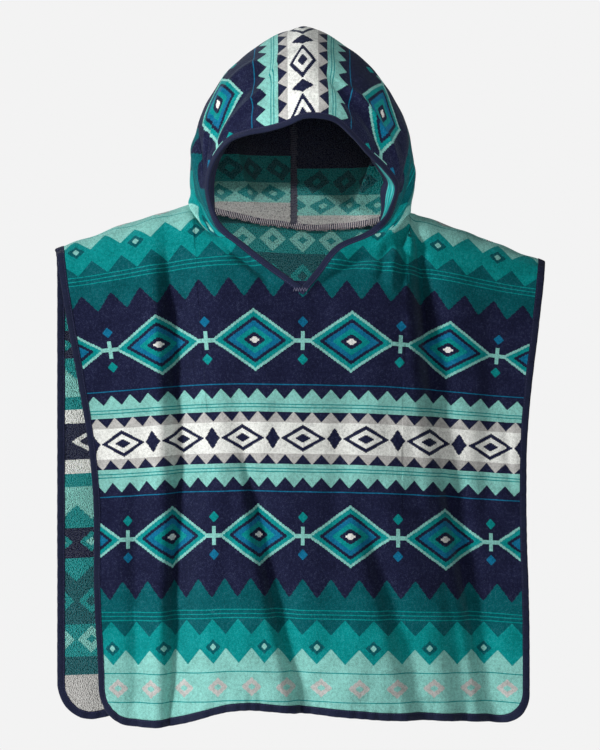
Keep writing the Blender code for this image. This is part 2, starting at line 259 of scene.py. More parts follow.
@frozen
class Crease:
    """A soft ridge or trough along a bowed line on the flat cloth, fading at both ends.

    Attributes:
        start, end: Flat points that the line joins.
        bow: How far its middle stands off the straight line, towards a rising first
            coordinate where the second one rises.
        spread: Half width.
        height: Height of the ridge, or depth of the trough where it is negative.
        point: Power by which it falls away: 2 for a round crest, near 1 for a sharp one.
    """

    start: Pair
    end: Pair
    bow: float
    spread: float
    height: float
    point: float = 2.0
    samples: int = 20

    def rise(self, across: Array, down: Array) -> Array:
        """Return the height at flat points: exp(-(distance to the line / spread) ^ point).

        The line is the straight one plus 4 bow t (1 - t) to the side. Along it the height swells
        and fades as sin(pi * share) ^ 0.8. Only points within three half widths of the line's box
        are worked out, since the rest are flat.
        """
        t = shares(self.samples)[:, None]
        run = np.subtract(self.end, self.start)
        aside = np.array((run[1], -run[0])) / np.linalg.norm(run)
        line = self.start + t * run + 4.0 * self.bow * t * (1.0 - t) * aside
        points = pack(across, down)
        margin = 3.0 * self.spread
        near = ((points > line.min(0) - margin) & (points < line.max(0) + margin)).all(-1)
        steps = np.diff(line, axis=0)
        offset = points[near][:, None] - line[:-1]
        share = np.clip((offset * steps).sum(-1) / (steps ** 2).sum(-1), 0.0, 1.0)
        gap = np.linalg.norm(offset - share[..., None] * steps, axis=-1)
        nearest = gap.argmin(-1)[:, None]
        distance = np.take_along_axis(gap, nearest, -1)[:, 0]
        place = (nearest + np.take_along_axis(share, nearest, -1))[:, 0] / len(steps)
        rise = np.zeros(near.shape)
        fall = np.exp(-((distance / self.spread) ** self.point))
        rise[near] = self.height * np.sin(math.pi * place) ** 0.8 * fall
        return rise


@frozen
class Ripple:
    """A faint unevenness of the cloth: a few crossed waves of seeded direction and phase.

    Attributes:
        shortest, longest: Range of the wavelengths.
    """

    seed: int
    height: float
    shortest: float = 0.035
    longest: float = 0.14
    waves: int = 14

    def rise(self, across: Array, down: Array) -> Array:
        """Return the height at flat points: the sum of n waves' sines, divided by n's root."""
        rng = np.random.default_rng(self.seed)
        total = np.zeros(np.shape(across))
        for _ in range(self.waves):
            heading = rng.uniform(0.0, math.pi)
            wave = 2 * math.pi / rng.uniform(self.shortest, self.longest)
            phase = rng.uniform(0.0, 2 * math.pi)
            total += np.sin(wave * (across * math.cos(heading) + down * math.sin(heading)) + phase)
        return self.height * total / math.sqrt(self.waves)


@frozen
class Pucker:
    """The small gathers that a taped edge draws into the cloth beside it.

    Attributes:
        height: Of the gathers at the edge.
        pitch, drift: From one gather to the next, and the length over which that varies.
        uneven: How far, in radians, they wander from their pitch.
        reach: How far in from the edge they fade.
    """

    height: float = 0.0014
    pitch: float = 0.019
    drift: float = 0.087
    uneven: float = 1.4
    reach: float = 0.014

    def rise(self, along: Array, inset: Array) -> Array:
        """Return the height at flat points: an uneven sine along the edge, fading inwards."""
        phase = 2 * math.pi * along / self.pitch
        uneven = self.uneven * np.sin(2 * math.pi * along / self.drift)
        wave = np.sin(phase + uneven) + 0.5 * np.sin(1.7 * phase - 2.0 * uneven)
        return self.height * wave * np.exp(-np.maximum(inset, 0.0) / self.reach)


PUCKER = Pucker()


@frozen
class Cut:
    """The flat cut shared by both panels, and how it sits on the shoulders.

    Attributes:
        shoulder_cut: How much lower the cloth is cut at a shoulder's tip than at the neck.
        neck_height, tip_height: z of a shoulder seam's ends.
        shoulder_round: Share of its fall that grows with the square of the way out.
        shoulder_tilt: How much higher the left side is.
        middle_half, tip_depth: x up to which the depth is the middle's, and depth at a tip.
        hem_lift: How far the hem's corners are drawn up.
    """

    half_width: float = 0.317
    corner_radius: float = 0.05
    shoulder_cut: float = 0.053
    neck_half_width: float = 0.138
    neck_height: float = 0.006
    tip_height: float = -0.055
    shoulder_round: float = 0.15
    shoulder_tilt: float = 0.008
    tilt_reach: float = 0.15
    tip_depth: float = 0.036
    middle_half: float = 0.07
    depth_span: float = 0.25
    hem_lift: float = 0.017
    lift_start: float = 0.33
    lift_span: float = 0.36
    lift_width: float = 0.3
    sag_start: float = 0.35
    sag_span: float = 0.35

    def outer_share(self, x: Array) -> Array:
        """Return 0 over the neck and 1 at a shoulder's tip."""
        span = self.half_width - self.neck_half_width
        return np.clip((np.abs(x) - self.neck_half_width) / span, 0.0, 1.0)

    def shoulder_v(self, x: Array) -> Array:
        """Return v along the shoulder seam, where the panel is cut to a slope."""
        return self.shoulder_cut * self.outer_share(x)

    def shoulder_z(self, x: Array) -> Array:
        """Return z along the shoulder seam: a slope that rounds off, with the left side higher."""
        share = self.outer_share(x)
        eased = (1.0 - self.shoulder_round) * share + self.shoulder_round * share ** 2
        fall = (self.tip_height - self.neck_height) * eased
        return self.neck_height + fall - self.shoulder_tilt * np.tanh(x / self.tilt_reach)


CUT = Cut()


@frozen
class PanelForm:
    """A worn body panel, as a function of its flat points.

    Attributes:
        length: From the neck's level to the hem.
        depth: How far its middle hangs from the shoulder seams' plane.
        left_draw, right_draw: How the sides draw in: rows of amount, v where it starts, and
            the length that it takes.
        sags: Where the hem sags: rows of x, half width and drop.
        right_tuck: How far the whole right side is drawn in.
        ease: Share by which the woven rows are eased level.
        relief_start, pucker_start: v from which the ripple and the sides' puckers grow.
    """

    side: Side
    length: float
    depth: float
    left_draw: tuple[Triple, ...]
    right_draw: tuple[Triple, ...]
    folds: tuple[Fold, ...]
    sags: tuple[Triple, ...]
    creases: tuple[Crease, ...]
    ripple: Ripple
    right_tuck: float = 0.005
    ease: float = 0.7
    ease_reach: float = 0.3
    relief_start: float = -0.01
    relief_span: float = 0.05
    pucker_start: float = 0.02

    def worn_half_width(self, x: Array, v: Array) -> Array:
        """Return the half width on that side once the cloth is draped."""
        left = CUT.half_width - sum(a * smooth((v - s) / r) for a, s, r in self.left_draw)
        right = CUT.half_width - self.right_tuck
        right = right - sum(a * smooth((v - s) / r) for a, s, r in self.right_draw)
        return np.where(x < 0.0, left, right)

    def relief(self, x: Array, v: Array) -> Array:
        """Return the height of the creases and the ripple over the smooth cloth."""
        total = self.ripple.rise(x, v) * smooth((v - self.relief_start) / self.relief_span)
        for crease in self.creases:
            total = total + crease.rise(x, v)
        sides = PUCKER.rise(v, CUT.half_width - np.abs(x))
        sides = sides * smooth((v - self.pucker_start) / self.relief_span)
        return total + sides + PUCKER.rise(x, self.length - v)

    def height(self, x: Array, v: Array) -> Array:
        """Return z of flat points on the smooth cloth."""
        size = self.column_depth(x) / FULL_REACH
        drop = size * TURN.drop((v - CUT.shoulder_v(x)) / size)
        lift = CUT.hem_lift * smooth((v - CUT.lift_start) / CUT.lift_span)
        lift = lift * smooth(np.abs(x) / CUT.lift_width)
        sag = sum(d * bell(x - c, s) for c, s, d in self.sags)
        sag = sag * smooth((v - CUT.sag_start) / CUT.sag_span)
        return CUT.shoulder_z(x) - drop + lift - sag

    def column_depth(self, x: Array) -> Array:
        """Return how far a column stands from the seams' plane: less towards the tips."""
        out = smooth((np.abs(x) - CUT.middle_half) / CUT.depth_span)
        return self.depth + (CUT.tip_depth - self.depth) * out

    def place(self, x: Array, v: Array) -> Array:
        """Place flat points: y is the turn's reach less the folds, and relief stands out square."""
        x, v = np.broadcast_arrays(np.asarray(x, float), np.asarray(v, float))
        size = self.column_depth(x) / FULL_REACH
        along = (v - CUT.shoulder_v(x)) / size
        sunk = sum(fold.sink(x, v, PANEL_SPAN) for fold in self.folds)
        relief = self.relief(x, v)
        lean = TURN.angle(along)
        y = size * TURN.reach(along) - sunk + relief * np.cos(lean)
        z = self.height(x, v) + relief * np.sin(lean)
        worn_x = x * self.worn_half_width(x, v) / CUT.half_width
        return pack(worn_x, self.side.value * y, z)

    def weft(self, x: Array, v: Array) -> Array:
        """Return how far down the woven rows a flat point lies, from the middle row.

        The worn rows are eased most of the way level below the shoulders: a side's ride up by a
        share of how much lower it hangs than the centre line.
        """
        bow = self.height(np.zeros_like(x), v) - self.height(x, v)
        return v - 0.5 * self.length + self.ease * smooth(v / self.ease_reach) * bow

    def normal(self, x: Array, v: Array) -> Array:
        """Return the outward unit normals at flat points, from small steps across and down."""
        across = self.place(x + NUDGE, v) - self.place(x - NUDGE, v)
        down = self.place(x, v + NUDGE) - self.place(x, v - NUDGE)
        return -self.side.value * unit(np.cross(across, -down))

    def drop_to_height(self, x: Array, height: Array) -> Array:
        """Return v where columns reach a height, by halving the range in which it lies."""
        low = np.zeros(np.shape(x))
        high = np.full(np.shape(x), NECK_REACH)
        for _ in range(HALVINGS):
            middle = 0.5 * (low + high)
            above = self.height(x, middle) > height
            low = np.where(above, middle, low)
            high = np.where(above, high, middle)
        return 0.5 * (low + high)


PANEL_SPAN = 0.692

FRONT = PanelForm(
    side=Side.FRONT,
    length=0.692,
    depth=0.09,
    left_draw=((0.052, 0.0, 0.42), (0.006, 0.5, 0.15)),
    right_draw=((0.028, 0.0, 0.34), (-0.004, 0.38, 0.2)),
    folds=(
        Fold(-0.17, -0.185, -0.205, 0.04, 0.72, 0.023, 0.029, 0.45),
        Fold(0.125, 0.195, 0.26, 0.03, 0.64, 0.02, 0.024, 0.45),
        Fold(-0.125, -0.09, 0.0, 0.3, 0.76, 0.02, 0.021, 0.45),
        Fold(-0.055, 0.055, 0.165, 0.36, 0.76, 0.019, 0.014, 0.3),
        Fold(0.15, 0.185, 0.22, 0.46, 0.76, 0.018, 0.011, 0.3),
        Fold(-0.26, -0.25, -0.26, 0.35, 0.7, 0.02, 0.01, 0.25),
        Fold(-0.09, -0.1, -0.13, 0.16, 0.5, 0.024, 0.0055, 0.2),
        Fold(0.06, 0.05, 0.02, 0.18, 0.52, 0.026, 0.0055, 0.2),
        Fold(0.25, 0.26, 0.27, 0.1, 0.45, 0.018, 0.006, 0.2),
    ),
    sags=((-0.205, 0.08, 0.02), (0.11, 0.06, 0.006), (0.275, 0.06, -0.008)),
    creases=(
        Crease((-0.2, 0.1), (-0.225, 0.46), 0.005, 0.008, 0.0022),
        Crease((0.135, 0.12), (0.185, 0.5), 0.0, 0.008, 0.002),
        Crease((0.285, 0.27), (0.295, 0.38), 0.0, 0.006, -0.0045),
        Crease((-0.14, 0.03), (-0.095, 0.105), -0.01, 0.0065, -0.006),
        Crease((-0.105, 0.105), (-0.04, 0.155), 0.0, 0.006, -0.0085),
        Crease((0.145, 0.025), (0.09, 0.1), 0.01, 0.0056, 0.009, 1.2),
        Crease((0.145, 0.05), (0.09, 0.115), 0.01, 0.0065, -0.0064),
        Crease((0.135, 0.05), (0.145, 0.12), 0.0, 0.0046, 0.01, 1.2),
        Crease((0.145, 0.055), (0.17, 0.22), 0.0, 0.0085, -0.012),
        Crease((0.005, 0.17), (0.105, 0.105), 0.005, 0.0085, -0.0095),
        Crease((0.11, 0.085), (0.1, 0.15), 0.0, 0.0055, -0.0056),
        Crease((0.12, 0.08), (0.115, 0.16), 0.0, 0.004, 0.006, 1.2),
        Crease((0.13, 0.07), (0.13, 0.16), 0.0, 0.0055, -0.007),
        Crease((-0.02, 0.175), (-0.07, 0.2), 0.0, 0.009, -0.002),
    ),
    ripple=Ripple(seed=11, height=0.0015),
)

BACK = PanelForm(
    side=Side.BACK,
    length=0.684,
    depth=0.086,
    left_draw=(),
    right_draw=(*FRONT.right_draw, (0.008, 0.0, 0.2)),
    folds=(
        Fold(-0.15, -0.165, -0.185, 0.06, 0.68, 0.03, 0.011),
        Fold(0.14, 0.16, 0.19, 0.06, 0.68, 0.03, 0.012),
        Fold(0.02, 0.01, 0.0, 0.34, 0.7, 0.03, 0.009),
        Fold(-0.24, -0.235, -0.23, 0.45, 0.7, 0.024, 0.006),
    ),
    sags=((-0.27, 0.09, 0.018), (0.15, 0.07, 0.006)),
    creases=(
        Crease((-0.12, 0.05), (-0.17, 0.15), -0.01, 0.009, -0.004),
        Crease((0.12, 0.05), (0.165, 0.15), 0.01, 0.009, -0.004),
        Crease((-0.07, 0.085), (-0.045, 0.21), 0.01, 0.01, -0.0025),
        Crease((0.06, 0.09), (0.055, 0.23), -0.005, 0.01, -0.0025),
    ),
    ripple=Ripple(seed=12, height=0.0011),
    relief_start=0.0,
)


@frozen
class Neckline:
    """The line on which the hood meets the panels, and the slit below it.

    Its methods take a share of a line and a side's sign, -1 on the left and 1 on the right.

    Attributes:
        slit: The slit's knots from its point up to the hood's front corners: distance from the
            centre line and height, on the left and on the right.
        scoop: Depth of the back neckline.
    """

    slit: tuple[Four, ...] = (
        (0.0, -0.104, 0.0, -0.104),
        (0.05, -0.069, 0.023, -0.078),
        (0.077, -0.048, 0.049, -0.048),
        (0.097, -0.033, 0.092, -0.029),
    )
    scoop: float = 0.066

    def slit_point(self, share: Array, sign: int) -> Arrays:
        """Return x and v up a side of the slit, from its point to the hood's corner."""
        rows = np.asarray(self.slit)
        columns = rows[:, 0:2] if sign < 0 else rows[:, 2:4]
        knots = shares(len(rows))
        distance, height = np.moveaxis(through(knots, columns, share), -1, 0)
        x = sign * distance
        return x, FRONT.drop_to_height(x, height)

    def front_seam(self, share: Array, sign: int) -> Arrays:
        """Return x and v of the front seam, a quarter ellipse from that corner to the shoulder."""
        column = 0 if sign < 0 else 2
        start_x, start_z = self.slit[-1][column:column + 2]
        angle = QUARTER * share
        x = sign * (start_x + (CUT.neck_half_width - start_x) * np.sin(angle))
        top = CUT.shoulder_z(sign * CUT.neck_half_width)
        return x, FRONT.drop_to_height(x, start_z + (top - start_z) * (1.0 - np.cos(angle)))

    def back_seam(self, share: Array, sign: int) -> Arrays:
        """Return x and v of the back seam, a quarter ellipse from the centre to the shoulder."""
        angle = QUARTER * share
        return sign * CUT.neck_half_width * np.sin(angle), self.scoop * np.cos(angle)


NECK = Neckline()


@frozen
class HoodForm:
    """The hood, as a function of turn and rise.

    It is an arch over the head, wider at its base and with a soft point, whose foot is drawn in
    to the neck seam and whose front is drawn to the face opening's edge.

    Attributes:
        seam_x: x of the centre-back seam.
        crown: Knots of the fold over the head: turn in degrees, y and z.
        rim: Knots up the front edge: distance from the centre line and height on the left, the
            same on the right, and y.
        arch_power, height_power: Powers that widen the arch at its foot and round its point.
        front_power, back_power: Powers by which it narrows towards the face and the back.
        draw_power: Power by which its draw to the neck seam and to the front edge fades.
    """

    half_width: float = 0.1455
    base: float = 0.03
    front_reach: float = 0.1
    back_reach: float = 0.135
    face_turn: float = math.radians(-50)
    back_turn: float = math.radians(90)
    seam_x: float = -0.015
    crown: tuple[Triple, ...] = (
        (-50, -0.126, 0.117),
        (-36, -0.1, 0.158),
        (-18, -0.055, 0.207),
        (0, -0.012, 0.233),
        (30, 0.03, 0.239),
        (90, 0.078, 0.226),
    )
    rim: tuple[tuple[float, float, float, float, float], ...] = (
        (0.108, -0.018, 0.107, -0.01, -0.074),
        (0.117, 0.006, 0.116, 0.012, -0.075),
        (0.121, 0.035, 0.119, 0.034, -0.079),
        (0.109, 0.071, 0.104, 0.055, -0.089),
        (0.09, 0.091, 0.084, 0.073, -0.1),
        (0.069, 0.098, 0.064, 0.094, -0.11),
        (0.044, 0.102, 0.039, 0.114, -0.118),
        (0.019, 0.109, 0.019, 0.118, -0.124),
    )
    arch_power: float = 1.25
    height_power: float = 0.9
    front_power: float = 0.6
    back_power: float = 0.75
    draw_power: int = 4
    nudge: float = 0.004
    creases: tuple[Crease, ...] = (
        Crease((0.04, 0.0), (0.22, 0.0), 0.0, 0.011, 0.0022),
        Crease((0.02, 0.05), (0.2, 0.05), 0.0, 0.024, -0.0055),
        Crease((0.02, -0.05), (0.2, -0.05), 0.0, 0.02, -0.003),
        Crease((0.125, -0.025), (0.005, -0.125), 0.02, 0.006, 0.008, 1.0),
        Crease((0.13, -0.045), (0.01, -0.14), 0.015, 0.009, -0.005),
        Crease((0.08, -0.035), (0.01, -0.09), 0.005, 0.008, -0.0033),
        Crease((0.13, -0.045), (0.065, -0.14), 0.0, 0.0075, 0.0042),
        Crease((0.07, -0.135), (0.015, -0.16), -0.005, 0.0036, 0.0039),
        Crease((0.06, -0.12), (0.01, -0.145), 0.0, 0.0036, 0.0033),
        Crease((0.065, -0.13), (0.01, -0.155), 0.0, 0.0034, -0.003),
        Crease((0.08, -0.185), (0.01, -0.17), 0.0, 0.005, -0.0066),
        Crease((0.09, -0.205), (0.02, -0.195), 0.0, 0.012, 0.0054),
        Crease((0.08, -0.285), (0.015, -0.26), -0.005, 0.006, 0.0063),
        Crease((0.075, -0.265), (0.015, -0.24), -0.005, 0.007, -0.0045),
        Crease((0.065, 0.04), (0.015, 0.16), 0.01, 0.006, 0.008, 1.0),
        Crease((0.045, 0.05), (0.01, 0.13), 0.005, 0.008, -0.0036),
        Crease((0.085, 0.02), (0.015, 0.08), 0.0, 0.008, -0.0051),
        Crease((0.085, 0.205), (0.01, 0.175), 0.0, 0.0055, -0.0054),
        Crease((0.095, 0.185), (0.04, 0.16), 0.0, 0.011, 0.0039),
        Crease((0.07, 0.225), (0.015, 0.245), 0.0, 0.0065, 0.0054),
        Crease((0.06, 0.21), (0.01, 0.23), 0.0, 0.006, -0.0045),
        Crease((0.22, -0.14), (0.215, -0.29), 0.01, 0.017, -0.019, 1.6),
        Crease((0.16, 0.18), (0.21, 0.29), 0.0, 0.015, -0.026, 1.2),
    )
    ripple: Ripple = Ripple(seed=13, height=0.0008, longest=0.1)

    def neck_point(self, turn: Array, sign: int) -> Array:
        """Place points of the neck seam, from the hood's corner to the shoulder and the back."""
        front = FRONT.place(*NECK.front_seam(1.0 - np.clip(turn / self.face_turn, 0, 1), sign))
        last = sign * math.asin(self.seam_x / CUT.neck_half_width) / QUARTER
        share = 1.0 - (1.0 - last) * np.clip(turn / self.back_turn, 0, 1)
        back = BACK.place(*NECK.back_seam(share, sign))
        return np.where((turn < 0.0)[..., None], front, back)

    def rim_point(self, rise: Array, sign: int) -> Array:
        """Place points of the front edge: a smooth curve through its knots, left to right."""
        rows = np.asarray(self.rim)
        face = np.array(self.face_turn)
        top = np.array([[0.0, self.crown[0][1], self.crown[0][2]]])
        left = pack(-rows[:, 0], rows[:, 4], rows[:, 1])
        right = pack(rows[:, 2], rows[:, 4], rows[:, 3])
        corners = [self.neck_point(face, s)[None] for s in (-1, 1)]
        knots = chain(corners[0], left, top, right[::-1], corners[1])
        length = path_length(knots[:, [0, 2]])
        middle = length[len(rows) + 1]
        at = middle * rise if sign < 0 else length[-1] - (length[-1] - middle) * rise
        return through(length, knots, at)

    def arch_point(self, turn: Array, rise: Array, sign: int) -> Array:
        """Place points of the free arch.

        With a = 90 degrees * rise^p, its half width falls as cos(a)^p and its height rises as a
        power of sin(a); the half width at the foot is a power of cos(turn).
        """
        angle = QUARTER * rise ** self.arch_power
        front = turn < 0.0
        power = np.where(front, self.front_power, self.back_power)
        round_off = np.maximum(np.cos(turn), 0.0) ** power
        side_y = np.where(front, self.front_reach, self.back_reach) * np.sin(turn)
        rows = np.asarray(self.crown)
        top = through(np.radians(rows[:, 0]), rows[:, 1:], turn)
        spread = np.maximum(np.cos(angle), 0.0) ** self.arch_power
        x = sign * self.half_width * round_off * spread
        x = x + self.seam_x * smooth(turn / self.back_turn)
        y = top[..., 0] + (side_y - top[..., 0]) * spread
        z = self.base + (top[..., 1] - self.base) * np.sin(angle) ** self.height_power
        return pack(x, y, z)

    def seated(self, turn: Array, rise: Array, sign: int) -> Array:
        """Place points of the arch with its foot drawn in to the neck seam, by (1 - rise)^n."""
        pull = self.neck_point(turn, sign) - self.arch_point(turn, np.zeros_like(turn), sign)
        share = (1.0 - rise) ** self.draw_power
        return self.arch_point(turn, rise, sign) + pull * share[..., None]

    def place(self, turn: Array, rise: Array, sign: int) -> Array:
        """Place points of the hood, drawn to its front edge by (1 - share of the way back)^n."""
        turn, rise = np.broadcast_arrays(np.asarray(turn, float), np.asarray(rise, float))
        share = (turn - self.face_turn) / (self.back_turn - self.face_turn)
        face = np.full(np.shape(turn), self.face_turn)
        pull = self.rim_point(rise, sign) - self.seated(face, rise, sign)
        return self.seated(turn, rise, sign) + pull * ((1.0 - share) ** self.draw_power)[..., None]

    def normal(self, turn: Array, rise: Array, sign: int) -> Array:
        """Return the outward unit normals, from small steps in turn and rise."""
        low_turn = np.maximum(turn - self.nudge, self.face_turn)
        high_turn = np.minimum(turn + self.nudge, self.back_turn)
        back = self.place(high_turn, rise, sign) - self.place(low_turn, rise, sign)
        up = self.place(turn, np.minimum(rise + self.nudge, 1.0), sign)
        up = up - self.place(turn, np.maximum(rise - self.nudge, 0.0), sign)
        return sign * unit(np.cross(back, up))


HOOD = HoodForm()


# ---- Meshes ----


@dataclass
class Faces:
    """A mesh as arrays, to which walls and tubes are added.

    Attributes:
        points: Vertices, one array for each added patch.
        quads: Quads' vertex numbers.
        layout: Flat coordinates of the vertices.
        finish: Material numbers of the quads.
    """

    points: list[Array] = field(default_factory=list)
    quads: list[Array] = field(default_factory=list)
    layout: list[Array] = field(default_factory=list)
    finish: list[Array] = field(default_factory=list)
    count: int = 0

    def add(self, points: Array, layout: Array) -> int:
        """Add vertices with their flat coordinates, and return the number of the first."""
        first = self.count
        self.points.append(points.reshape(-1, 3))
        self.layout.append(layout.reshape(-1, 2))
        self.count += len(self.points[-1])
        return first

    def join(self, quads: Array, finish: int = 0) -> None:
        """Add quads of vertex numbers, shape (m, 4), with their material number."""
        self.quads.append(quads)
        self.finish.append(np.full(len(quads), finish))

    def build(self, name: str, finishes: list[Material]) -> Object:
        """Make the object: doubles merged, quads that closed up dropped, smooth shaded.

        Args:
            name: The piece's name.
            finishes: Its materials, by number.

        Returns:
            The piece, at the origin.
        """
        points = np.concatenate(self.points)
        quads = np.concatenate(self.quads)
        layout = np.concatenate(self.layout)[quads.ravel()]
        mesh = bpy.data.meshes.new(name)
        mesh.from_pydata(points.tolist(), [], quads.tolist())
        mesh.polygons.foreach_set("material_index", np.concatenate(self.finish))
        mesh.uv_layers.new(name="Flat").data.foreach_set("uv", layout.ravel())
        form = bmesh.new()
        form.from_mesh(mesh)
        bmesh.ops.remove_doubles(form, verts=form.verts, dist=MERGE)
        bmesh.ops.recalc_face_normals(form, faces=form.faces)
        form.to_mesh(mesh)
        form.free()
        mesh.validate()
        mesh.shade_smooth()
        for finish in finishes:
            mesh.materials.append(finish)
        piece = bpy.data.objects.new(name, mesh)
        bpy.context.scene.collection.objects.link(piece)
        return piece


def grid_quads(rows: int, columns: int) -> Array:
    """Return the quads of a grid whose vertices run along its rows."""
    corner = (np.arange(rows - 1)[:, None] * columns + np.arange(columns - 1)).ravel()
    return pack(corner, corner + columns, corner + columns + 1, corner + 1)


def walled(name: str, finishes: list[Material], points: Array, normals: Array, half: Array,
           layout: Array, last_row_joined: bool = False) -> Object:
    """Make a piece of cloth: both its walls and the rim between them.

    Args:
        name: The piece's name.
        finishes: The outer wall's material, and last that of the inner wall and the rim.
        points: The cloth's middle surface, shape (rows, columns, 3).
        normals: Outward normals there.
        half: Half the thickness there. Where it is 0 the walls meet.
        layout: Flat coordinates there.
        last_row_joined: Whether the last row is sewn to itself, so that it has no rim.

    Returns:
        The piece.
    """
    faces = Faces()
    inner_finish = len(finishes) - 1
    rows, columns = half.shape
    outer = faces.add(points + normals * half[..., None], layout)
    inner = faces.add(points - normals * half[..., None], layout)
    quads = grid_quads(rows, columns)
    faces.join(quads + outer)
    faces.join(quads + inner, inner_finish)
    number = np.arange(rows * columns).reshape(rows, columns)
    borders = [number[0], number[:, 0], number[:, -1]]
    if not last_row_joined:
        borders.append(number[-1])
    for border in borders:
        here, after = border[:-1], border[1:]
        rim = pack(here + outer, after + outer, after + inner, here + inner)
        faces.join(rim, inner_finish)
    return faces.build(name, finishes)


def add_sweep(faces: Faces, sections: Array, layout: Array, closed: bool = False) -> None:
    """Add a section carried along a path, closed by caps at its ends or joined to itself.

    Args:
        faces: The mesh to add to.
        sections: Shape (stations, corners, 3). The corners go round in two halves that face
            each other, so that a cap's quads run between them.
        layout: Flat coordinates there.
        closed: Whether the last section joins the first.
    """
    stations, corners = sections.shape[:2]
    first = faces.add(sections, layout)
    ring = np.arange(corners)
    start = np.arange(stations if closed else stations - 1)[:, None] * corners
    after = (start + corners) % (stations * corners)
    beside = np.roll(ring, -1)
    quads = pack(start + ring, start + beside, after + beside, after + ring)
    faces.join(quads.reshape(-1, 4) + first)
    if not closed:
        side = np.arange(corners // 2 - 1)
        cap = pack(side, side + 1, corners - 2 - side, corners - 1 - side)
        faces.join(cap + first)
        faces.join(cap + first + (stations - 1) * corners)


def round_angles(corners: int) -> Array:
    """Return the angles of a round section's corners, half a step from level."""
    return 2 * math.pi * (np.arange(corners) + 0.5) / corners


def tube_sections(path: Array, up: Array, radii: Pair, corners: int) -> Array:
    """Carry an ellipse along a path.

    Each section is path + a cos(t) side + b sin(t) up, with the side square to path and up.

    Args:
        path: Shape (stations, 3).
        up: Directions near which the second half axis stays.
        radii: The half axes, across and along up.
        corners: Corners of the section.

    Returns:
        Shape (stations, corners, 3).
    """
    along = unit(np.gradient(path, axis=0))
    side = unit(np.cross(along, up))
    lift = np.cross(side, along)
    angle = round_angles(corners)
    across = radii[0] * np.cos(angle)[None, :, None] * side[:, None]
    return path[:, None] + across + radii[1] * np.sin(angle)[None, :, None] * lift[:, None]


def length_layout(sections: Array) -> Array:
    """Return flat coordinates of a sweep: how far along it, and how far round its section."""
    around = path_length(sections[len(sections) // 2])
    return pack(path_length(sections.mean(axis=1))[:, None], around)


def swept(name: str, sections: Array, finish: Material,
          closed: bool = False) -> Object:
    """Make a piece of one swept section."""
    faces = Faces()
    add_sweep(faces, sections, length_layout(sections), closed)
    return faces.build(name, [finish])


# ---- Finishes ----


def linear(code: str) -> Four:
    """Turn a hexadecimal display colour into the linear one that a shader takes."""
    parts = [int(code[i:i + 2], 16) / 255 for i in (0, 2, 4)]
    return (*(p / 12.92 if p <= 0.04045 else ((p + 0.055) / 1.055) ** 2.4 for p in parts), 1.0)


class Wire:
    """A value in a shader, on which arithmetic adds Math nodes.

    least and most keep the smaller and the larger of two values.
    """

    def __init__(self, graph: "Graph", socket: NodeSocket) -> None:
        self.graph = graph
        self.socket = socket

    def apply(self, operation: str, *others: "Wire | float") -> "Wire":
        """Add a Math node on this value and others."""
        values = dict(enumerate((self, *others)))
        return self.graph.wire("ShaderNodeMath", {"operation": operation}, values)

    __add__ = __radd__ = partialmethod(apply, "ADD")
    __sub__ = partialmethod(apply, "SUBTRACT")
    __mul__ = __rmul__ = partialmethod(apply, "MULTIPLY")
    __truediv__ = partialmethod(apply, "DIVIDE")
    __abs__ = partialmethod(apply, "ABSOLUTE")
    __lt__ = partialmethod(apply, "LESS_THAN")
    __gt__ = partialmethod(apply, "GREATER_THAN")
    least = partialmethod(apply, "MINIMUM")
    most = partialmethod(apply, "MAXIMUM")

    def __rsub__(self, other: float) -> "Wire":
        """Return a number less this value."""
        return self * -1.0 + other

    def near(self, pitch: float, shift: float) -> "Wire":
        """Return the distance to the nearest of marks, a pitch of weave steps apart."""
        half = 0.5 * pitch * CELL
        return abs((self - shift * CELL).apply("WRAP", half, -half))

    def off(self, step: float) -> "Wire":
        """Return the distance to a weave step."""
        return abs(self - step * CELL)

    def wave(self, pitch: float) -> "Wire":
        """Return a wave of the value from 0 to 1: 0.5 + 0.5 sin(2 pi value / pitch)."""
        return (self * (2 * math.pi / pitch)).apply("SINE") * 0.5 + 0.5

    def snapped(self) -> "Wire":
        """Return the middle of the weave step in which the value lies."""
        return self.apply("SNAP", CELL) + 0.5 * CELL


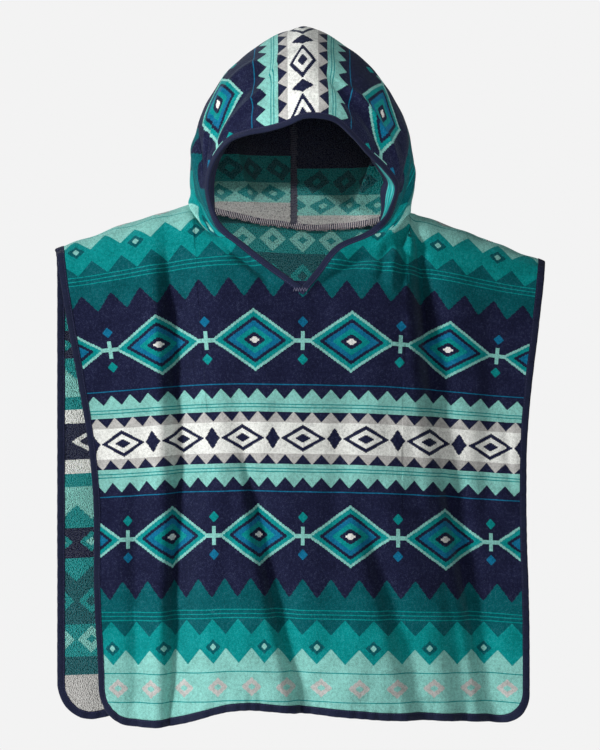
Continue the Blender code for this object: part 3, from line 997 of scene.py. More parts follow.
class Graph:
    """A material's nodes, with one way to make any of them."""

    def __init__(self, name: str) -> None:
        self.material = bpy.data.materials.new(name)
        self.material.use_nodes = True
        self.tree = self.material.node_tree
        self.shader = self.tree.nodes["Principled BSDF"]

    def node(self, kind: str, settings: dict, values: dict) -> Node:
        """Make a node.

        Args:
            kind: Its type.
            settings: Its settings, which are set first. "stops" are a ramp's places and colours.
            values: Values or wires for its sockets, by name or number.

        Returns:
            The node.
        """
        made = self.tree.nodes.new(kind)
        for name, value in settings.items():
            if name == "stops":
                self.set_stops(made.color_ramp, value)
            else:
                setattr(made, name, value)
        for key, value in values.items():
            self.feed(made.inputs[key], value)
        return made

    def feed(self, socket: NodeSocket, value: object) -> None:
        """Link a wire to a socket, or set the socket's own value."""
        if isinstance(value, Wire):
            self.tree.links.new(value.socket, socket)
        else:
            socket.default_value = value

    @staticmethod
    def set_stops(ramp: ColorRamp, stops: list) -> None:
        """Give a ramp hard steps at rising places, the first at 0."""
        ramp.interpolation = "CONSTANT"
        ramp.elements[0].color = stops[0][1]
        ramp.elements.remove(ramp.elements[1])
        for place, colour in stops[1:]:
            ramp.elements.new(place).color = colour

    def wire(self, kind: str, settings: dict, values: dict, output: int | str = 0) -> Wire:
        """Make a node and return one of its outputs."""
        return Wire(self, self.node(kind, settings, values).outputs[output])

    def blend(self, share: Wire | float, under: object, over: object) -> Wire:
        """Lay one colour over another by a share."""
        return self.wire("ShaderNodeMix", {"data_type": "RGBA"}, {0: share, 6: under, 7: over}, 2)

    def toned(self, colour: Wire | tuple, tone: Wire, saturation: float = 1.0) -> Wire:
        """Brighten a colour by a tone, of which 1 leaves it as it is."""
        values = {"Color": colour, "Value": tone, "Saturation": saturation}
        return self.wire("ShaderNodeHueSaturation", {}, values)

    def noise(self, place: Wire, scale: float, detail: float = 2.0) -> Wire:
        """Return a noise about 0, from -0.5 to 0.5, of so many grains a metre."""
        values = {"Vector": place, "Scale": scale, "Detail": detail, "Roughness": 0.6}
        return self.wire("ShaderNodeTexNoise", {"noise_dimensions": "2D"}, values) - 0.5

    def flat(self) -> tuple[Wire, Wire, Wire]:
        """Return the flat layout as a vector, and its two coordinates."""
        place = self.wire("ShaderNodeUVMap", {"uv_map": "Flat"}, {})
        parts = self.node("ShaderNodeSeparateXYZ", {}, {0: place})
        return place, Wire(self, parts.outputs[0]), Wire(self, parts.outputs[1])

    def finish(self, colour: Wire, height: Wire, relief: float, **shader: float) -> Material:
        """Feed the shader.

        Args:
            colour: Base colour.
            height: Bump's height, 0 to 1.
            relief: Bump's depth.
            shader: Other sockets' values, with _ for a space.

        Returns:
            The material.
        """
        bump = self.wire("ShaderNodeBump", {}, {"Height": height, "Distance": relief})
        self.feed(self.shader.inputs["Base Color"], colour)
        self.feed(self.shader.inputs["Normal"], bump)
        for name, value in shader.items():
            self.feed(self.shader.inputs[name.replace("_", " ")], value)
        return self.material


class Dye(Enum):
    """The yarns' colours, as hexadecimal display colours."""

    WHITE = "EAEBE6"
    GREY = "BDBBB8"
    MINT = "87C8BF"
    TEAL = "008C8C"
    DEEP = "005960"
    BLUE = "086C93"
    NAVY = "1A1D3A"

    @property
    def colour(self) -> Four:
        """Return the linear colour."""
        return linear(self.value)


WHITE, GREY, MINT, TEAL, DEEP, BLUE, NAVY = Dye


@frozen
class Lozenges:
    """A row of concentric lozenges, counted in weave steps as every motif is.

    Attributes:
        at: The row's distance from the pattern's middle line.
        pitch, shift: From one to the next, and where the first stands.
        wide, high: Half sizes.
        rings: Shares of the size at which each ring starts, from the outermost, and its dye.
    """

    at: float
    pitch: float
    wide: float
    high: float
    rings: tuple[tuple[float, Dye], ...]
    shift: float = 0

    def paint(self, graph: Graph, across: Wire, band: Wire, under: Wire) -> Wire:
        """Lay the row over a colour: rings of |x| / wide + |y| / high."""
        wide, high = self.wide * CELL, self.high * CELL
        size = across.near(self.pitch, self.shift) / wide + band.off(self.at) / high
        for share, dye in self.rings:
            under = graph.blend(size < share, under, dye.colour)
        return under


@frozen
class Crosses:
    """A row of upright crosses."""

    at: float
    pitch: float
    arm: float
    half: float
    dye: Dye
    shift: float = 0

    def paint(self, graph: Graph, across: Wire, band: Wire, under: Wire) -> Wire:
        """Lay the row over a colour: near either axis and within the arm of both."""
        x = across.near(self.pitch, self.shift)
        y = band.off(self.at)
        mask = (x.least(y) < self.half * CELL) * (x.most(y) < self.arm * CELL)
        return graph.blend(mask, under, self.dye.colour)


@frozen
class Teeth:
    """A row of triangles on a base line, which point away from the pattern's middle line.

    Attributes:
        base: The base line's distance from the middle line.
        height: The triangles' height, negative where they point to the middle line.
    """

    base: float
    height: float
    pitch: float
    dye: Dye
    shift: float = 0

    def paint(self, graph: Graph, across: Wire, band: Wire, under: Wire) -> Wire:
        """Lay the row over a colour: 2 |x| / pitch + (band - base) / height < 1, past the base."""
        climb = (band - self.base * CELL) / (self.height * CELL)
        x = across.near(self.pitch, self.shift) / (0.5 * self.pitch * CELL)
        mask = (x + climb < 1.0) * (climb > 0.0)
        return graph.blend(mask, under, self.dye.colour)


@frozen
class Lines:
    """Pin lines along the rows, at distances from the middle line."""

    at: tuple[float, ...]
    dye: Dye

    def paint(self, graph: Graph, across: Wire, band: Wire, under: Wire) -> Wire:
        """Lay the lines over a colour."""
        gap = band.off(self.at[0])
        for place in self.at[1:]:
            gap = gap.least(band.off(place))
        return graph.blend(gap < 0.5 * CELL, under, self.dye.colour)


@frozen
class Design:
    """A woven pattern of bands either side of a middle line, with rows of motifs.

    Attributes:
        bands: The weave step at which each starts, and its dye.
        motifs: Rows, each laid over those before it.
        rows: Weave steps in the ramp that holds the bands, one for each place in its table.
    """

    bands: tuple[tuple[float, Dye], ...]
    motifs: tuple[Lozenges | Crosses | Teeth | Lines, ...]
    rows: int = 255

    def colour(self, graph: Graph, across: Wire, down: Wire) -> Wire:
        """Return the pattern's colour on the flat cloth."""
        steps_across = across.snapped()
        band = abs(down.snapped())
        stops = [(max(0, start - 0.25) / self.rows, dye.colour) for start, dye in self.bands]
        share = band / (self.rows * CELL)
        colour = graph.wire("ShaderNodeValToRGB", {"stops": stops}, {0: share})
        for motif in self.motifs:
            colour = motif.paint(graph, steps_across, band, colour)
        return colour


BOLD_RINGS = ((1.0, MINT), (0.9, TEAL), (0.74, NAVY), (0.62, BLUE),
              (0.44, TEAL), (0.26, NAVY), (0.12, WHITE))
CHAIN_RINGS = ((1.0, NAVY), (0.7, WHITE), (0.34, NAVY))

OUTSIDE = Design(
    bands=((0, WHITE), (15, GREY), (25, MINT), (38, NAVY),
           (154, DEEP), (190, TEAL), (218, MINT)),
    motifs=(
        Lozenges(0, 68, 25, 13, CHAIN_RINGS),
        Lozenges(0, 68, 8, 11, ((1.0, NAVY),), shift=34),
        Teeth(25, -9, 20, NAVY),
        Lines((29.5, 32.5), TEAL),
        Teeth(38, 9, 20, MINT, shift=10),
        Lines((51.5,), BLUE),
        Lozenges(94, 102, 46, 30, BOLD_RINGS, shift=51),
        Crosses(94, 102, 9, 2, MINT),
        Lozenges(76, 102, 6, 5, ((1.0, TEAL),)),
        Lozenges(112, 102, 6, 5, ((1.0, BLUE),)),
        Teeth(154, -19, 30, DEEP),
        Lines((165.5, 169.5, 173.5), TEAL),
        Teeth(190, -16, 30, TEAL, shift=15),
        Lozenges(201, 60, 9, 7, ((1.0, DEEP), (0.45, MINT)), shift=15),
        Teeth(218, -16, 30, MINT),
        Lines((225.5,), TEAL),
        Lozenges(240, 40, 12, 9, ((1.0, GREY), (0.4, MINT)), shift=20),
        Lines((253.5,), TEAL),
    ),
)

BODY_INSIDE = Design(
    bands=((0, NAVY), (18, WHITE), (32, TEAL), (45, MINT),
           (63, TEAL), (85, NAVY), (115, TEAL), (140, DEEP),
           (182, TEAL), (214, DEEP), (232, GREY)),
    motifs=(
        Lozenges(0, 68, 26, 15, ((1.0, WHITE), (0.7, NAVY))),
        Teeth(63, 15, 30, MINT),
        Lozenges(100, 30, 12, 10, ((1.0, TEAL), (0.45, MINT))),
        Teeth(140, -16, 30, DEEP),
        Lozenges(159, 30, 13, 13, ((1.0, TEAL), (0.4, DEEP))),
        Lozenges(197, 30, 14, 13, ((1.0, MINT), (0.36, TEAL))),
    ),
)

HOOD_INSIDE = Design(
    bands=((0, NAVY), (176, TEAL), (204, MINT), (225, GREY)),
    motifs=(
        Lozenges(190, 30, 14, 12, ((1.0, DEEP), (0.36, TEAL))),
        Lozenges(215, 30, 14, 9, ((1.0, TEAL), (0.36, MINT)), shift=15),
    ),
)


@frozen
class Velour:
    """The outside: sheared pile.

    Attributes:
        grain, patch, brushed: How many tufts, clumps and brushed places there are a metre.
        shown: How much of its own tone each changes.
        painted_glint, painted_glint_share, painted_glint_start: Painted highlight flecks for the
            pale ends that catch the light between the tufts: their colour, how much it shows and
            from which tone.
        pile: Depth of the bump.
    """

    name: str
    design: Design
    grain: float = 900.0
    patch: float = 260.0
    brushed: float = 42.0
    shown: Triple = (1.0, 0.8, 0.55)
    painted_glint: str = "7F8CA6"
    painted_glint_share: float = 0.55
    painted_glint_start: float = 0.09
    pile: float = 0.0013
    sheen: str = "B8D0DC"

    def build(self) -> Material:
        """Make the material."""
        graph = Graph(self.name)
        place, across, down = graph.flat()
        woven = self.design.colour(graph, across, down)
        grain = graph.noise(place, self.grain, 1.0)
        patch = graph.noise(place, self.patch, 3.0)
        brushed = graph.noise(place, self.brushed, 3.0)
        tone = sum(n * s for n, s in zip((grain, patch, brushed), self.shown)) + 1.0
        toned = graph.toned(woven, tone)
        # Painted highlight: pale flecks, where the noise is high, stand in for fibre ends catching the
        # light.
        painted_glint_mask = (grain + patch * 0.7 + brushed * 0.3 - self.painted_glint_start).most(0.0)
        colour = graph.blend(painted_glint_mask * self.painted_glint_share, toned, linear(self.painted_glint))
        return graph.finish(colour, (grain + patch) * 0.5 + 0.5, self.pile, Roughness=0.95,
                            Sheen_Weight=0.13, Sheen_Roughness=0.4,
                            Sheen_Tint=linear(self.sheen), Specular_IOR_Level=0.1)


@frozen
class Terry:
    """The inside: uncut loops, paler at their tips and dark between.

    Attributes:
        loops: How many a metre.
        round: How softly neighbouring loops meet.
        depth: Of the gaps between them.
        low, rise: Tone in a gap, which is painted shade, and how much brighter a tip is, as
            painted highlight.
        tip, highlight_start, highlight_share: The painted highlight's colour on the tips, and how
            it comes to show.
        tip, highlight_start, highlight_share: The tips' colour, and how it comes to show.
    """

    name: str
    design: Design
    loops: float = 600.0
    round: float = 0.3
    depth: float = 0.0022
    low: float = 0.52
    rise: float = 1.2
    patch: float = 240.0
    uneven: float = 0.6
    saturation: float = 1.08
    tip: str = "CCD6D4"
    highlight_start: float = 0.5
    highlight_share: float = 0.38

    def build(self) -> Material:
        """Make the material."""
        graph = Graph(self.name)
        place, across, down = graph.flat()
        woven = self.design.colour(graph, across, down)
        settings = {"voronoi_dimensions": "2D", "feature": "SMOOTH_F1"}
        gap = graph.wire("ShaderNodeTexVoronoi", settings,
                         {"Vector": place, "Scale": self.loops, "Smoothness": self.round})
        tip = 1.0 - gap
        # Painted shade in the gaps between loops and painted highlight on their tips, with random
        # clumps.
        tone = tip * self.rise + graph.noise(place, self.patch) * self.uneven + self.low
        toned = graph.toned(woven, tone, self.saturation)
        # Painted highlight: the pale tip colour laid over the tops of the loops.
        share = (tip - self.highlight_start).most(0.0) * self.highlight_share
        colour = graph.blend(share, toned, linear(self.tip))
        return graph.finish(colour, tip, self.depth, Roughness=0.95, Sheen_Weight=0.12,
                            Sheen_Roughness=0.5, Specular_IOR_Level=0.1)


@frozen
class Twill:
    """Folded cotton tape: fine diagonal ribs, with a little fluff.

    Attributes:
        rib: From one rib to the next.
        shown: How much of its own tone the ribs and the fluff change.
        low: Tone between the ribs, which is painted shade in their grooves.
        fluff, fluff_code, fluff_start, worn: How many tufts of fluff a metre, their colour, from
            which tone it shows and how much.
    """

    name: str = "twill"
    rib: float = 0.0011
    code: str = "191F3A"
    shown: Pair = (0.24, 0.6)
    low: float = 0.88
    fluff: float = 900.0
    fluff_code: str = "747F98"
    fluff_start: float = 0.05
    worn: float = 0.28

    def build(self) -> Material:
        """Make the material."""
        graph = Graph(self.name)
        place, along, around = graph.flat()
        wave = (along + around).wave(self.rib)
        fluff = graph.noise(place, self.fluff)
        # The ribs' wave is painted shade in the grooves between them; the fluff is random tone.
        tone = wave * self.shown[0] + fluff * self.shown[1] + self.low
        woven = graph.toned(linear(self.code), tone)
        share = (fluff - self.fluff_start).most(0.0) * self.worn
        colour = graph.blend(share, woven, linear(self.fluff_code))
        return graph.finish(colour, wave * 0.8 + fluff * 0.4, 0.0003, Roughness=0.85,
                            Sheen_Weight=0.05, Sheen_Roughness=0.4, Specular_IOR_Level=0.2)


@frozen
class Thread:
    """Sewing thread: two twisted plies.

    Attributes:
        twist, slant: From one ply to the next, and their slant.
        fluff: How many tufts a metre.
        shown: How much of its own tone the plies and the fluff change.
        low: Tone between the plies, which is painted shade in their groove.
    """

    name: str
    code: str
    twist: float = 0.0008
    slant: float = 0.6
    fluff: float = 700.0
    shown: Pair = (0.3, 0.5)
    low: float = 0.82

    def build(self) -> Material:
        """Make the material."""
        graph = Graph(self.name)
        place, along, around = graph.flat()
        wave = (along + around * self.slant).wave(self.twist)
        # The plies' wave is painted shade in the groove between them; the fluff is random tone.
        tone = wave * self.shown[0] + graph.noise(place, self.fluff) * self.shown[1] + self.low
        colour = graph.toned(linear(self.code), tone)
        return graph.finish(colour, wave, 0.0001, Roughness=0.75, Specular_IOR_Level=0.25)


@frozen
class Paper:
    """The studio's pale floor, which fades out towards its edge.

    Attributes:
        near, far: Distances from the middle between which it fades.
        mottle, tint: How many soft spots a metre, and how much they show.
        tooth: How many grains a metre.
    """

    name: str = "paper"
    code: str = "F3F3F3"
    near: float = 0.35
    far: float = 1.15
    glow: float = 0.32
    mottle: float = 60.0
    tint: float = 0.03
    tooth: float = 200.0

    def build(self) -> Material:
        """Make the material: its alpha falls with the distance from the middle."""
        graph = Graph(self.name)
        place = graph.wire("ShaderNodeTexCoord", {}, {}, "Object")
        parts = graph.node("ShaderNodeSeparateXYZ", {}, {0: place})
        x, y = Wire(graph, parts.outputs[0]), Wire(graph, parts.outputs[1])
        away = (x * x + y * y).apply("SQRT")
        fade = ((self.far - away) / (self.far - self.near)).least(1.0).most(0.0)
        tint = graph.noise(place, self.mottle) * self.tint + 1.0
        colour = graph.toned(linear(self.code), tint)
        graph.feed(graph.shader.inputs["Alpha"], fade * fade)
        return graph.finish(colour, graph.noise(place, self.tooth) + 0.5, 0.0001, Roughness=0.9,
                            Emission_Color=linear(self.code), Emission_Strength=self.glow)


# ---- Pieces ----


@frozen
class Cloth:
    """The towelling's sizes.

    Attributes:
        thickness: With the pile.
        tuck: How far the cloth's edge lies inside a tape's outer fold.
        seam_steps: Distances from a sewn edge at which its rounding is drawn.
    """

    thickness: float = 0.003
    tuck: float = 0.0084
    seam_steps: tuple[float, ...] = (0.0, 0.0002, 0.0006, 0.0011, 0.0017)

    def half_at(self, distance: Array) -> Array:
        """Return half the thickness at a distance from a sewn edge, rounded as a circle."""
        half = 0.5 * self.thickness
        share = np.clip(distance / half, 0.0, 1.0)
        return half * np.sqrt(1.0 - (1.0 - share) ** 2)


CLOTH = Cloth()


@frozen
class Tape:
    """A twill tape folded over an edge.

    Attributes:
        width: From its fold to its lips.
        half: Half its thickness.
        wall: The thickness of one layer.
        profile: Its outer face from a lip inwards, as distance from the lip and depth below
            half its thickness; the stitches lie in the last dip.
        crown: How much higher it is half way across.
        tucked: How far in from the lips its inner side reaches.
        proud: Share of the thread's radius by which a stitch stands over the dip.
    """

    width: float = 0.01
    half: float = 0.0022
    wall: float = 0.0006
    profile: tuple[Pair, ...] = (
        (0.0, 0.00033), (0.0003, 0.0001), (0.001, 0.0), (0.0016, 0.0003), (0.0022, 0.0))
    crown: float = 0.00005
    tucked: float = 0.0025
    nose_steps: int = 6
    proud: float = 0.3

    def seat(self) -> Pair:
        """Return the stitches' distance from the fold and their height over the cloth's middle."""
        inset, dip = self.profile[-2]
        return self.width - inset, self.half - dip + self.proud * STITCH.radius

    def section(self) -> Array:
        """Return the section's corners as distance from the fold and height over the cloth.

        The outer surface runs from one lip round the fold to the other, and the inner one back.

        Returns:
            Shape (corners, 2).
        """
        lip = (self.width, self.half) - np.array(self.profile)
        crown = [[0.5 * self.width, self.half + self.crown]]
        angle = QUARTER * shares(self.nose_steps)
        nose = pack(self.half * (1.0 - np.sin(angle)), self.half * np.cos(angle))
        top = chain(lip, crown, nose)
        outer = chain(top, top[-2::-1] * (1.0, -1.0))
        slot = self.half - self.wall
        inside = np.maximum(outer[:, 0], self.width - self.tucked)
        inner = pack(inside, np.clip(outer[:, 1], -slot, slot))
        return chain(outer, inner[::-1])


EDGE_TAPE = Tape()
FACE_TAPE = Tape(width=0.0082, half=0.002)


def read_path(values: Array, at: Array, knots: Array) -> Array:
    """Read a path's points or directions at places between its knots."""
    return pack(*(np.interp(at, knots, values[:, k]) for k in range(3)))


def frames(path: Array, up: Array, at: Array) -> Arrays:
    """Return the points of a path at places counted in its own steps, and its directions there."""
    steps = np.arange(len(path))
    centre = read_path(path, at, steps)
    along = unit(np.gradient(centre, axis=0))
    side = unit(np.cross(along, read_path(up, at, steps)))
    return centre, along, side, np.cross(side, along)


@frozen
class Stitch:
    """A row of stitches.

    Attributes:
        pitch: From one stitch to the next.
        length: Of one stitch.
        radius: Of the thread.
        taper: Places along a stitch, as shares of its length, and its girth there.
    """

    pitch: float = 0.0034
    length: float = 0.0026
    radius: float = 0.00032
    corners: int = 6
    taper: tuple[Pair, ...] = ((-0.5, 0.35), (-0.38, 1.0), (0.38, 1.0), (0.5, 0.35))

    def add(self, faces: Faces, path: Array, up: Array) -> None:
        """Lay stitches along a path: the same small bar with tapered ends, turned to the path.

        Args:
            faces: The mesh to add to.
            path: Shape (n, 3).
            up: Directions off the cloth there.
        """
        at, _ = evenly(path, self.pitch)
        centre, *axes = frames(path, up, at)
        share, girth = np.asarray(self.taper).T[..., None]
        angle = round_angles(self.corners)
        reach = self.radius * girth
        bar = pack(share * self.length, reach * np.cos(angle), reach * np.sin(angle))
        bars = centre[:, None, None] + np.einsum("ijk,nkl->nijl", bar, np.stack(axes, axis=1))
        layout = length_layout(bars[0])
        for sections in bars:
            add_sweep(faces, sections, layout)


STITCH = Stitch()


@frozen
class Overlock:
    """A seam allowance on the inside, with thread looped round it.

    Attributes:
        half_width, half_height: The allowance's half sizes.
        pitch: From one loop to the next.
        radius: Of the thread.
        steps: Points in a loop.
        sway: How unevenly the loops lie, as a share of the allowance.
        lift: How far the thread stands off the allowance, as a share of its radius.
    """

    half_width: float = 0.0042
    half_height: float = 0.0019
    pitch: float = 0.0025
    radius: float = 0.00056
    steps: int = 10
    sway: float = 0.26
    lift: float = 0.6
    corners: int = 6
    allowance_corners: int = 12
    seed: int = 21

    def build(self, name: str, path: Array, up: Array, cloth: Material,
              thread: Material) -> list[Object]:
        """Make the allowance and its thread.

        Args:
            name: The pieces' first words.
            path: The allowance's middle line, shape (n, 3).
            up: Directions off the cloth there.
            cloth: The allowance's material.
            thread: The thread's material.

        Returns:
            Both pieces.
        """
        radii = (self.half_width, self.half_height)
        sections = tube_sections(path, up, radii, self.allowance_corners)
        allowance = swept(name + "_allowance", sections, cloth)
        return [allowance, self.build_loops(name, path, up, thread)]

    def build_loops(self, name: str, path: Array, up: Array,
                    thread: Material) -> Object:
        """Wind the thread round the allowance: a flattened helix of chance size at each loop."""
        length = path_length(path)
        loops = int(length[-1] / self.pitch)
        count = loops * self.steps + 1
        at = np.interp(np.linspace(0.0, length[-1], count), length, np.arange(len(path)))
        centre, _, side, lift = frames(path, up, at)
        angle = 2 * math.pi * np.arange(count) / self.steps
        rng = np.random.default_rng(self.seed)
        chance = rng.uniform(-self.sway, self.sway, loops + 2)
        place, knots = np.arange(count) / self.steps, np.arange(loops + 2)
        size = 1.0 + np.interp(place, knots, chance)
        drift = 0.5 * self.half_width * np.interp(place, knots, chance[::-1])
        across = (self.half_width * size * np.cos(angle) + drift)[:, None] * side
        height = self.half_height + self.lift * self.radius
        rise = (height * size * np.sin(angle))[:, None] * lift
        winding = centre + across + rise
        sections = tube_sections(winding, unit(across + rise), (self.radius,) * 2, self.corners)
        return swept(name + "_loops", sections, thread)


OVERLOCK = Overlock()


@dataclass
class Panel:
    """A body panel with its tape.

    Attributes:
        name, tape_name: The nodes of the cloth and its tape, and their pieces' first words.
        form: Its worn form.
        scoop_columns, slit_columns, seam_columns: Mesh columns along half the back neckline,
            a side of the slit and a side of the hood's seam.
        row_power, station_power: Powers by which rows and stations are closer at the top.
    """

    name: str
    tape_name: str
    form: PanelForm
    scoop_columns: int = 50
    slit_columns: int = 34
    seam_columns: int = 20
    shoulder_columns: int = 46
    corner_columns: int = 12
    rows: int = 184
    row_power: float = 1.15
    side_stations: int = 180
    bend_stations: int = 20
    hem_stations: int = 90
    station_power: float = 1.1

    def neck_edge(self, sign: int) -> Arrays:
        """Return flat points of half the neckline, from the centre line to the shoulder."""
        if self.form.side is Side.BACK:
            return NECK.back_seam(shares(self.scoop_columns), sign)
        slit_x, slit_v = NECK.slit_point(shares(self.slit_columns), sign)
        seam_x, seam_v = NECK.front_seam(shares(self.seam_columns)[1:], sign)
        return chain(slit_x, seam_x), chain(slit_v, seam_v)

    def half_outline(self, sign: int) -> Arrays:
        """Return x, top and bottom of half the panel's columns, from the centre line out."""
        neck_x, neck_v = self.neck_edge(sign)
        outer = CUT.half_width - CUT.corner_radius
        radius = CUT.corner_radius - CLOTH.tuck
        shoulder = np.linspace(CUT.neck_half_width, outer, self.shoulder_columns)[1:]
        angle = QUARTER * shares(self.corner_columns)[1:]
        corner = outer + radius * np.sin(angle)
        rest = sign * chain(shoulder, corner)
        straight = np.full(len(neck_x) + len(shoulder), self.form.length - CLOTH.tuck)
        rounded = self.form.length - CUT.corner_radius + radius * np.cos(angle)
        x = chain(neck_x, rest)
        top = chain(neck_v, CUT.shoulder_v(rest))
        return x, top, chain(straight, rounded)

    def flat_grid(self) -> Arrays:
        """Return the flat grid's x and v, and its distance down from the top edge."""
        left = self.half_outline(-1)
        right = self.half_outline(1)
        x, top, bottom = (chain(a[:0:-1], b) for a, b in zip(left, right))
        steps = np.asarray(CLOTH.seam_steps)[:, None]
        share = shares(self.rows - len(steps) + 1)[1:, None] ** self.row_power
        below = steps[-1] + (bottom - top - steps[-1]) * share
        down = chain(np.broadcast_to(steps, (len(steps), len(x))), below)
        return np.broadcast_to(x, down.shape), top + down, down

    def build_cloth(self, finishes: list[Material]) -> Object:
        """Make the cloth from its flat grid, worn and given its walls."""
        x, v, down = self.flat_grid()
        return walled(self.name + "_cloth", finishes, self.form.place(x, v),
                      self.form.normal(x, v), CLOTH.half_at(down), pack(x, self.form.weft(x, v)))

    def edge_flat(self, inset: Array) -> Arrays:
        """Return flat points round the sides and the hem, at distances inside the edge.

        Args:
            inset: Shape (k,).

        Returns:
            x and v, shape (stations, k), from the left tip down, across and up to the right tip.
        """
        radius = CUT.corner_radius
        low = self.form.length - radius
        top = CUT.shoulder_v(CUT.half_width - inset) + CLOTH.seam_steps[1]
        share = shares(self.side_stations)[:-1, None] ** self.station_power
        side_v = top + (low - top) * share
        side_x = np.broadcast_to(CUT.half_width - inset, side_v.shape)
        angle = QUARTER * np.linspace(1.0, 0.0, self.bend_stations)[:-1, None]
        corner_x = CUT.half_width - radius + (radius - inset) * np.sin(angle)
        corner_v = low + (radius - inset) * np.cos(angle)
        half_hem = np.linspace(1.0, 0.0, self.hem_stations)[:, None] * (CUT.half_width - radius)
        hem_v = self.form.length - inset + 0 * half_hem
        x = chain(side_x, corner_x, half_hem + 0 * inset)
        v = chain(side_v, corner_v, hem_v)
        return chain(-x, x[-2::-1]), chain(v, v[-2::-1])

    def build_tape(self, finish: Material) -> Object:
        """Make the tape: its section stands on the worn cloth's edge."""
        section = EDGE_TAPE.section()
        x, v = self.edge_flat(section[:, 0])
        sections = self.form.place(x, v) + self.form.normal(x, v) * section[:, 1:2]
        return swept(self.tape_name + "_tape", sections, finish)

    def build_stitches(self, finish: Material) -> Object:
        """Make the stitches that hold the tape, on both its faces."""
        inset, height = EDGE_TAPE.seat()
        x, v = self.edge_flat(np.array([inset]))
        points = self.form.place(x, v)[:, 0]
        normals = self.form.normal(x, v)[:, 0]
        faces = Faces()
        for face in (1, -1):
            STITCH.add(faces, points + face * height * normals, face * normals)
        return faces.build(self.tape_name + "_stitches", [finish])


@dataclass
class Hood:
    """The hood's cloth.

    Attributes:
        seam_turns, seam_rises: Degrees from the back seam and rises from the neck seam at which
            the rows and columns lie closer.
        edge_fade, neck_fade, back_fade: Lengths in which the relief fades to those edges.
        level_reach, level_start: Turn behind the ears and depth below the top over which the
            woven rows come to run level.
        half_step: Half the step between the two halves' rows at the back seam.
        flat_size: Size of the flat cut, over the head and from the face to the back. It is
            not used.
    """

    front_rows: int = 54
    back_rows: int = 66
    columns: int = 172
    seam_turns: tuple[float, ...] = (1.6, 0.9, 0.4, 0.0)
    seam_rises: tuple[float, ...] = (0.0, 0.0008, 0.0022, 0.004, 0.0062)
    edge_fade: float = 0.009
    neck_fade: float = 0.012
    back_fade: float = 0.01
    level_reach: float = 0.8
    level_start: float = 0.1
    half_step: float = 0.008
    flat_size: Pair = (0.6, 0.3)

    def grid(self) -> Arrays:
        """Return the hood's turns, rises and signs, across from the left neck to the right."""
        front = np.linspace(HOOD.face_turn, 0.0, self.front_rows)[:-1]
        seam = HOOD.back_turn - np.radians(self.seam_turns)
        back = np.linspace(0.0, seam[0], self.back_rows)[:-1]
        turn = chain(front, back, seam)[:, None]
        *steps, last = self.seam_rises
        rise = chain(steps, np.linspace(last, 1.0, self.columns))
        signed = chain(rise, rise[-2::-1])
        sign = chain(np.full(len(rise), -1), np.full(len(rise) - 1, 1))
        return np.broadcast_arrays(turn, signed[None], sign[None])

    def surface(self) -> Arrays:
        """Work out the hood's middle surface.

        Returns:
            Points, normals, the flat layout (distances from the front edge and from the fold
            over the head) and the distance from the neck seam.
        """
        turn, rise, sign = self.grid()
        left = HOOD.place(turn, rise, -1)
        points = np.where((sign < 0)[..., None], left, HOOD.place(turn, rise, 1))
        normals = self.seamed(grid_normals(points))
        normals = normals * np.sign((normals * (points - points.mean((0, 1)))).sum())
        back = path_length(points)
        over = path_length(points.swapaxes(0, 1)).T
        middle = over.shape[1] // 2
        from_fold = over - over[:, middle:middle + 1]
        from_neck = np.minimum(over, over[:, -1:] - over)
        fade = smooth(back / self.edge_fade) * smooth(from_neck / self.neck_fade)
        fade = fade * smooth((back[-1:] - back) / self.back_fade)
        relief = HOOD.ripple.rise(back, from_fold)
        for crease in HOOD.creases:
            relief = relief + crease.rise(back, from_fold)
        points = points + normals * (relief * fade)[..., None]
        turned = self.seamed(grid_normals(points))
        normals = turned * np.sign((turned * normals).sum())
        rows = self.level_rows(turn[:, 0], points[..., 2], from_fold)
        return points, normals, pack(back, rows), from_neck

    def level_rows(self, turn: Array, height: Array, from_fold: Array) -> Array:
        """Return how far each point lies from the fold along the woven rows.

        The back edges are cut to a curve, so that behind the ears the rows run level: each
        height there has the row that it has at the side. The halves are a little out of step.
        """
        side = int(np.abs(turn).argmin())
        middle = from_fold.shape[1] // 2
        behind = smooth(turn / self.level_reach)[:, None]
        share = behind * smooth((height.max() - height) / self.level_start)
        rising, row = height[side], from_fold[side]
        left = np.interp(height[:, :middle], rising[:middle], row[:middle])
        right = np.interp(height[:, middle:], rising[:middle - 1:-1], row[:middle - 1:-1])
        left = left - np.maximum(rising[0] - height[:, :middle], 0.0)
        right = right + np.maximum(rising[-1] - height[:, middle:], 0.0)
        level = np.concatenate([left, right], axis=1)
        return from_fold + (level - from_fold) * share - self.half_step * behind

    @staticmethod
    def seamed(normals: Array) -> Array:
        """Give both halves the same normals along the centre-back seam."""
        joined = normals.copy()
        joined[-1] = unit(normals[-1] + normals[-1, ::-1])
        return joined

    def build_cloth(self, finishes: list[Material]) -> Object:
        """Make the hood's cloth."""
        points, normals, layout, from_neck = self.surface()
        half = CLOTH.half_at(from_neck)
        return walled("hood_cloth", finishes, points, normals, half, layout, last_row_joined=True)


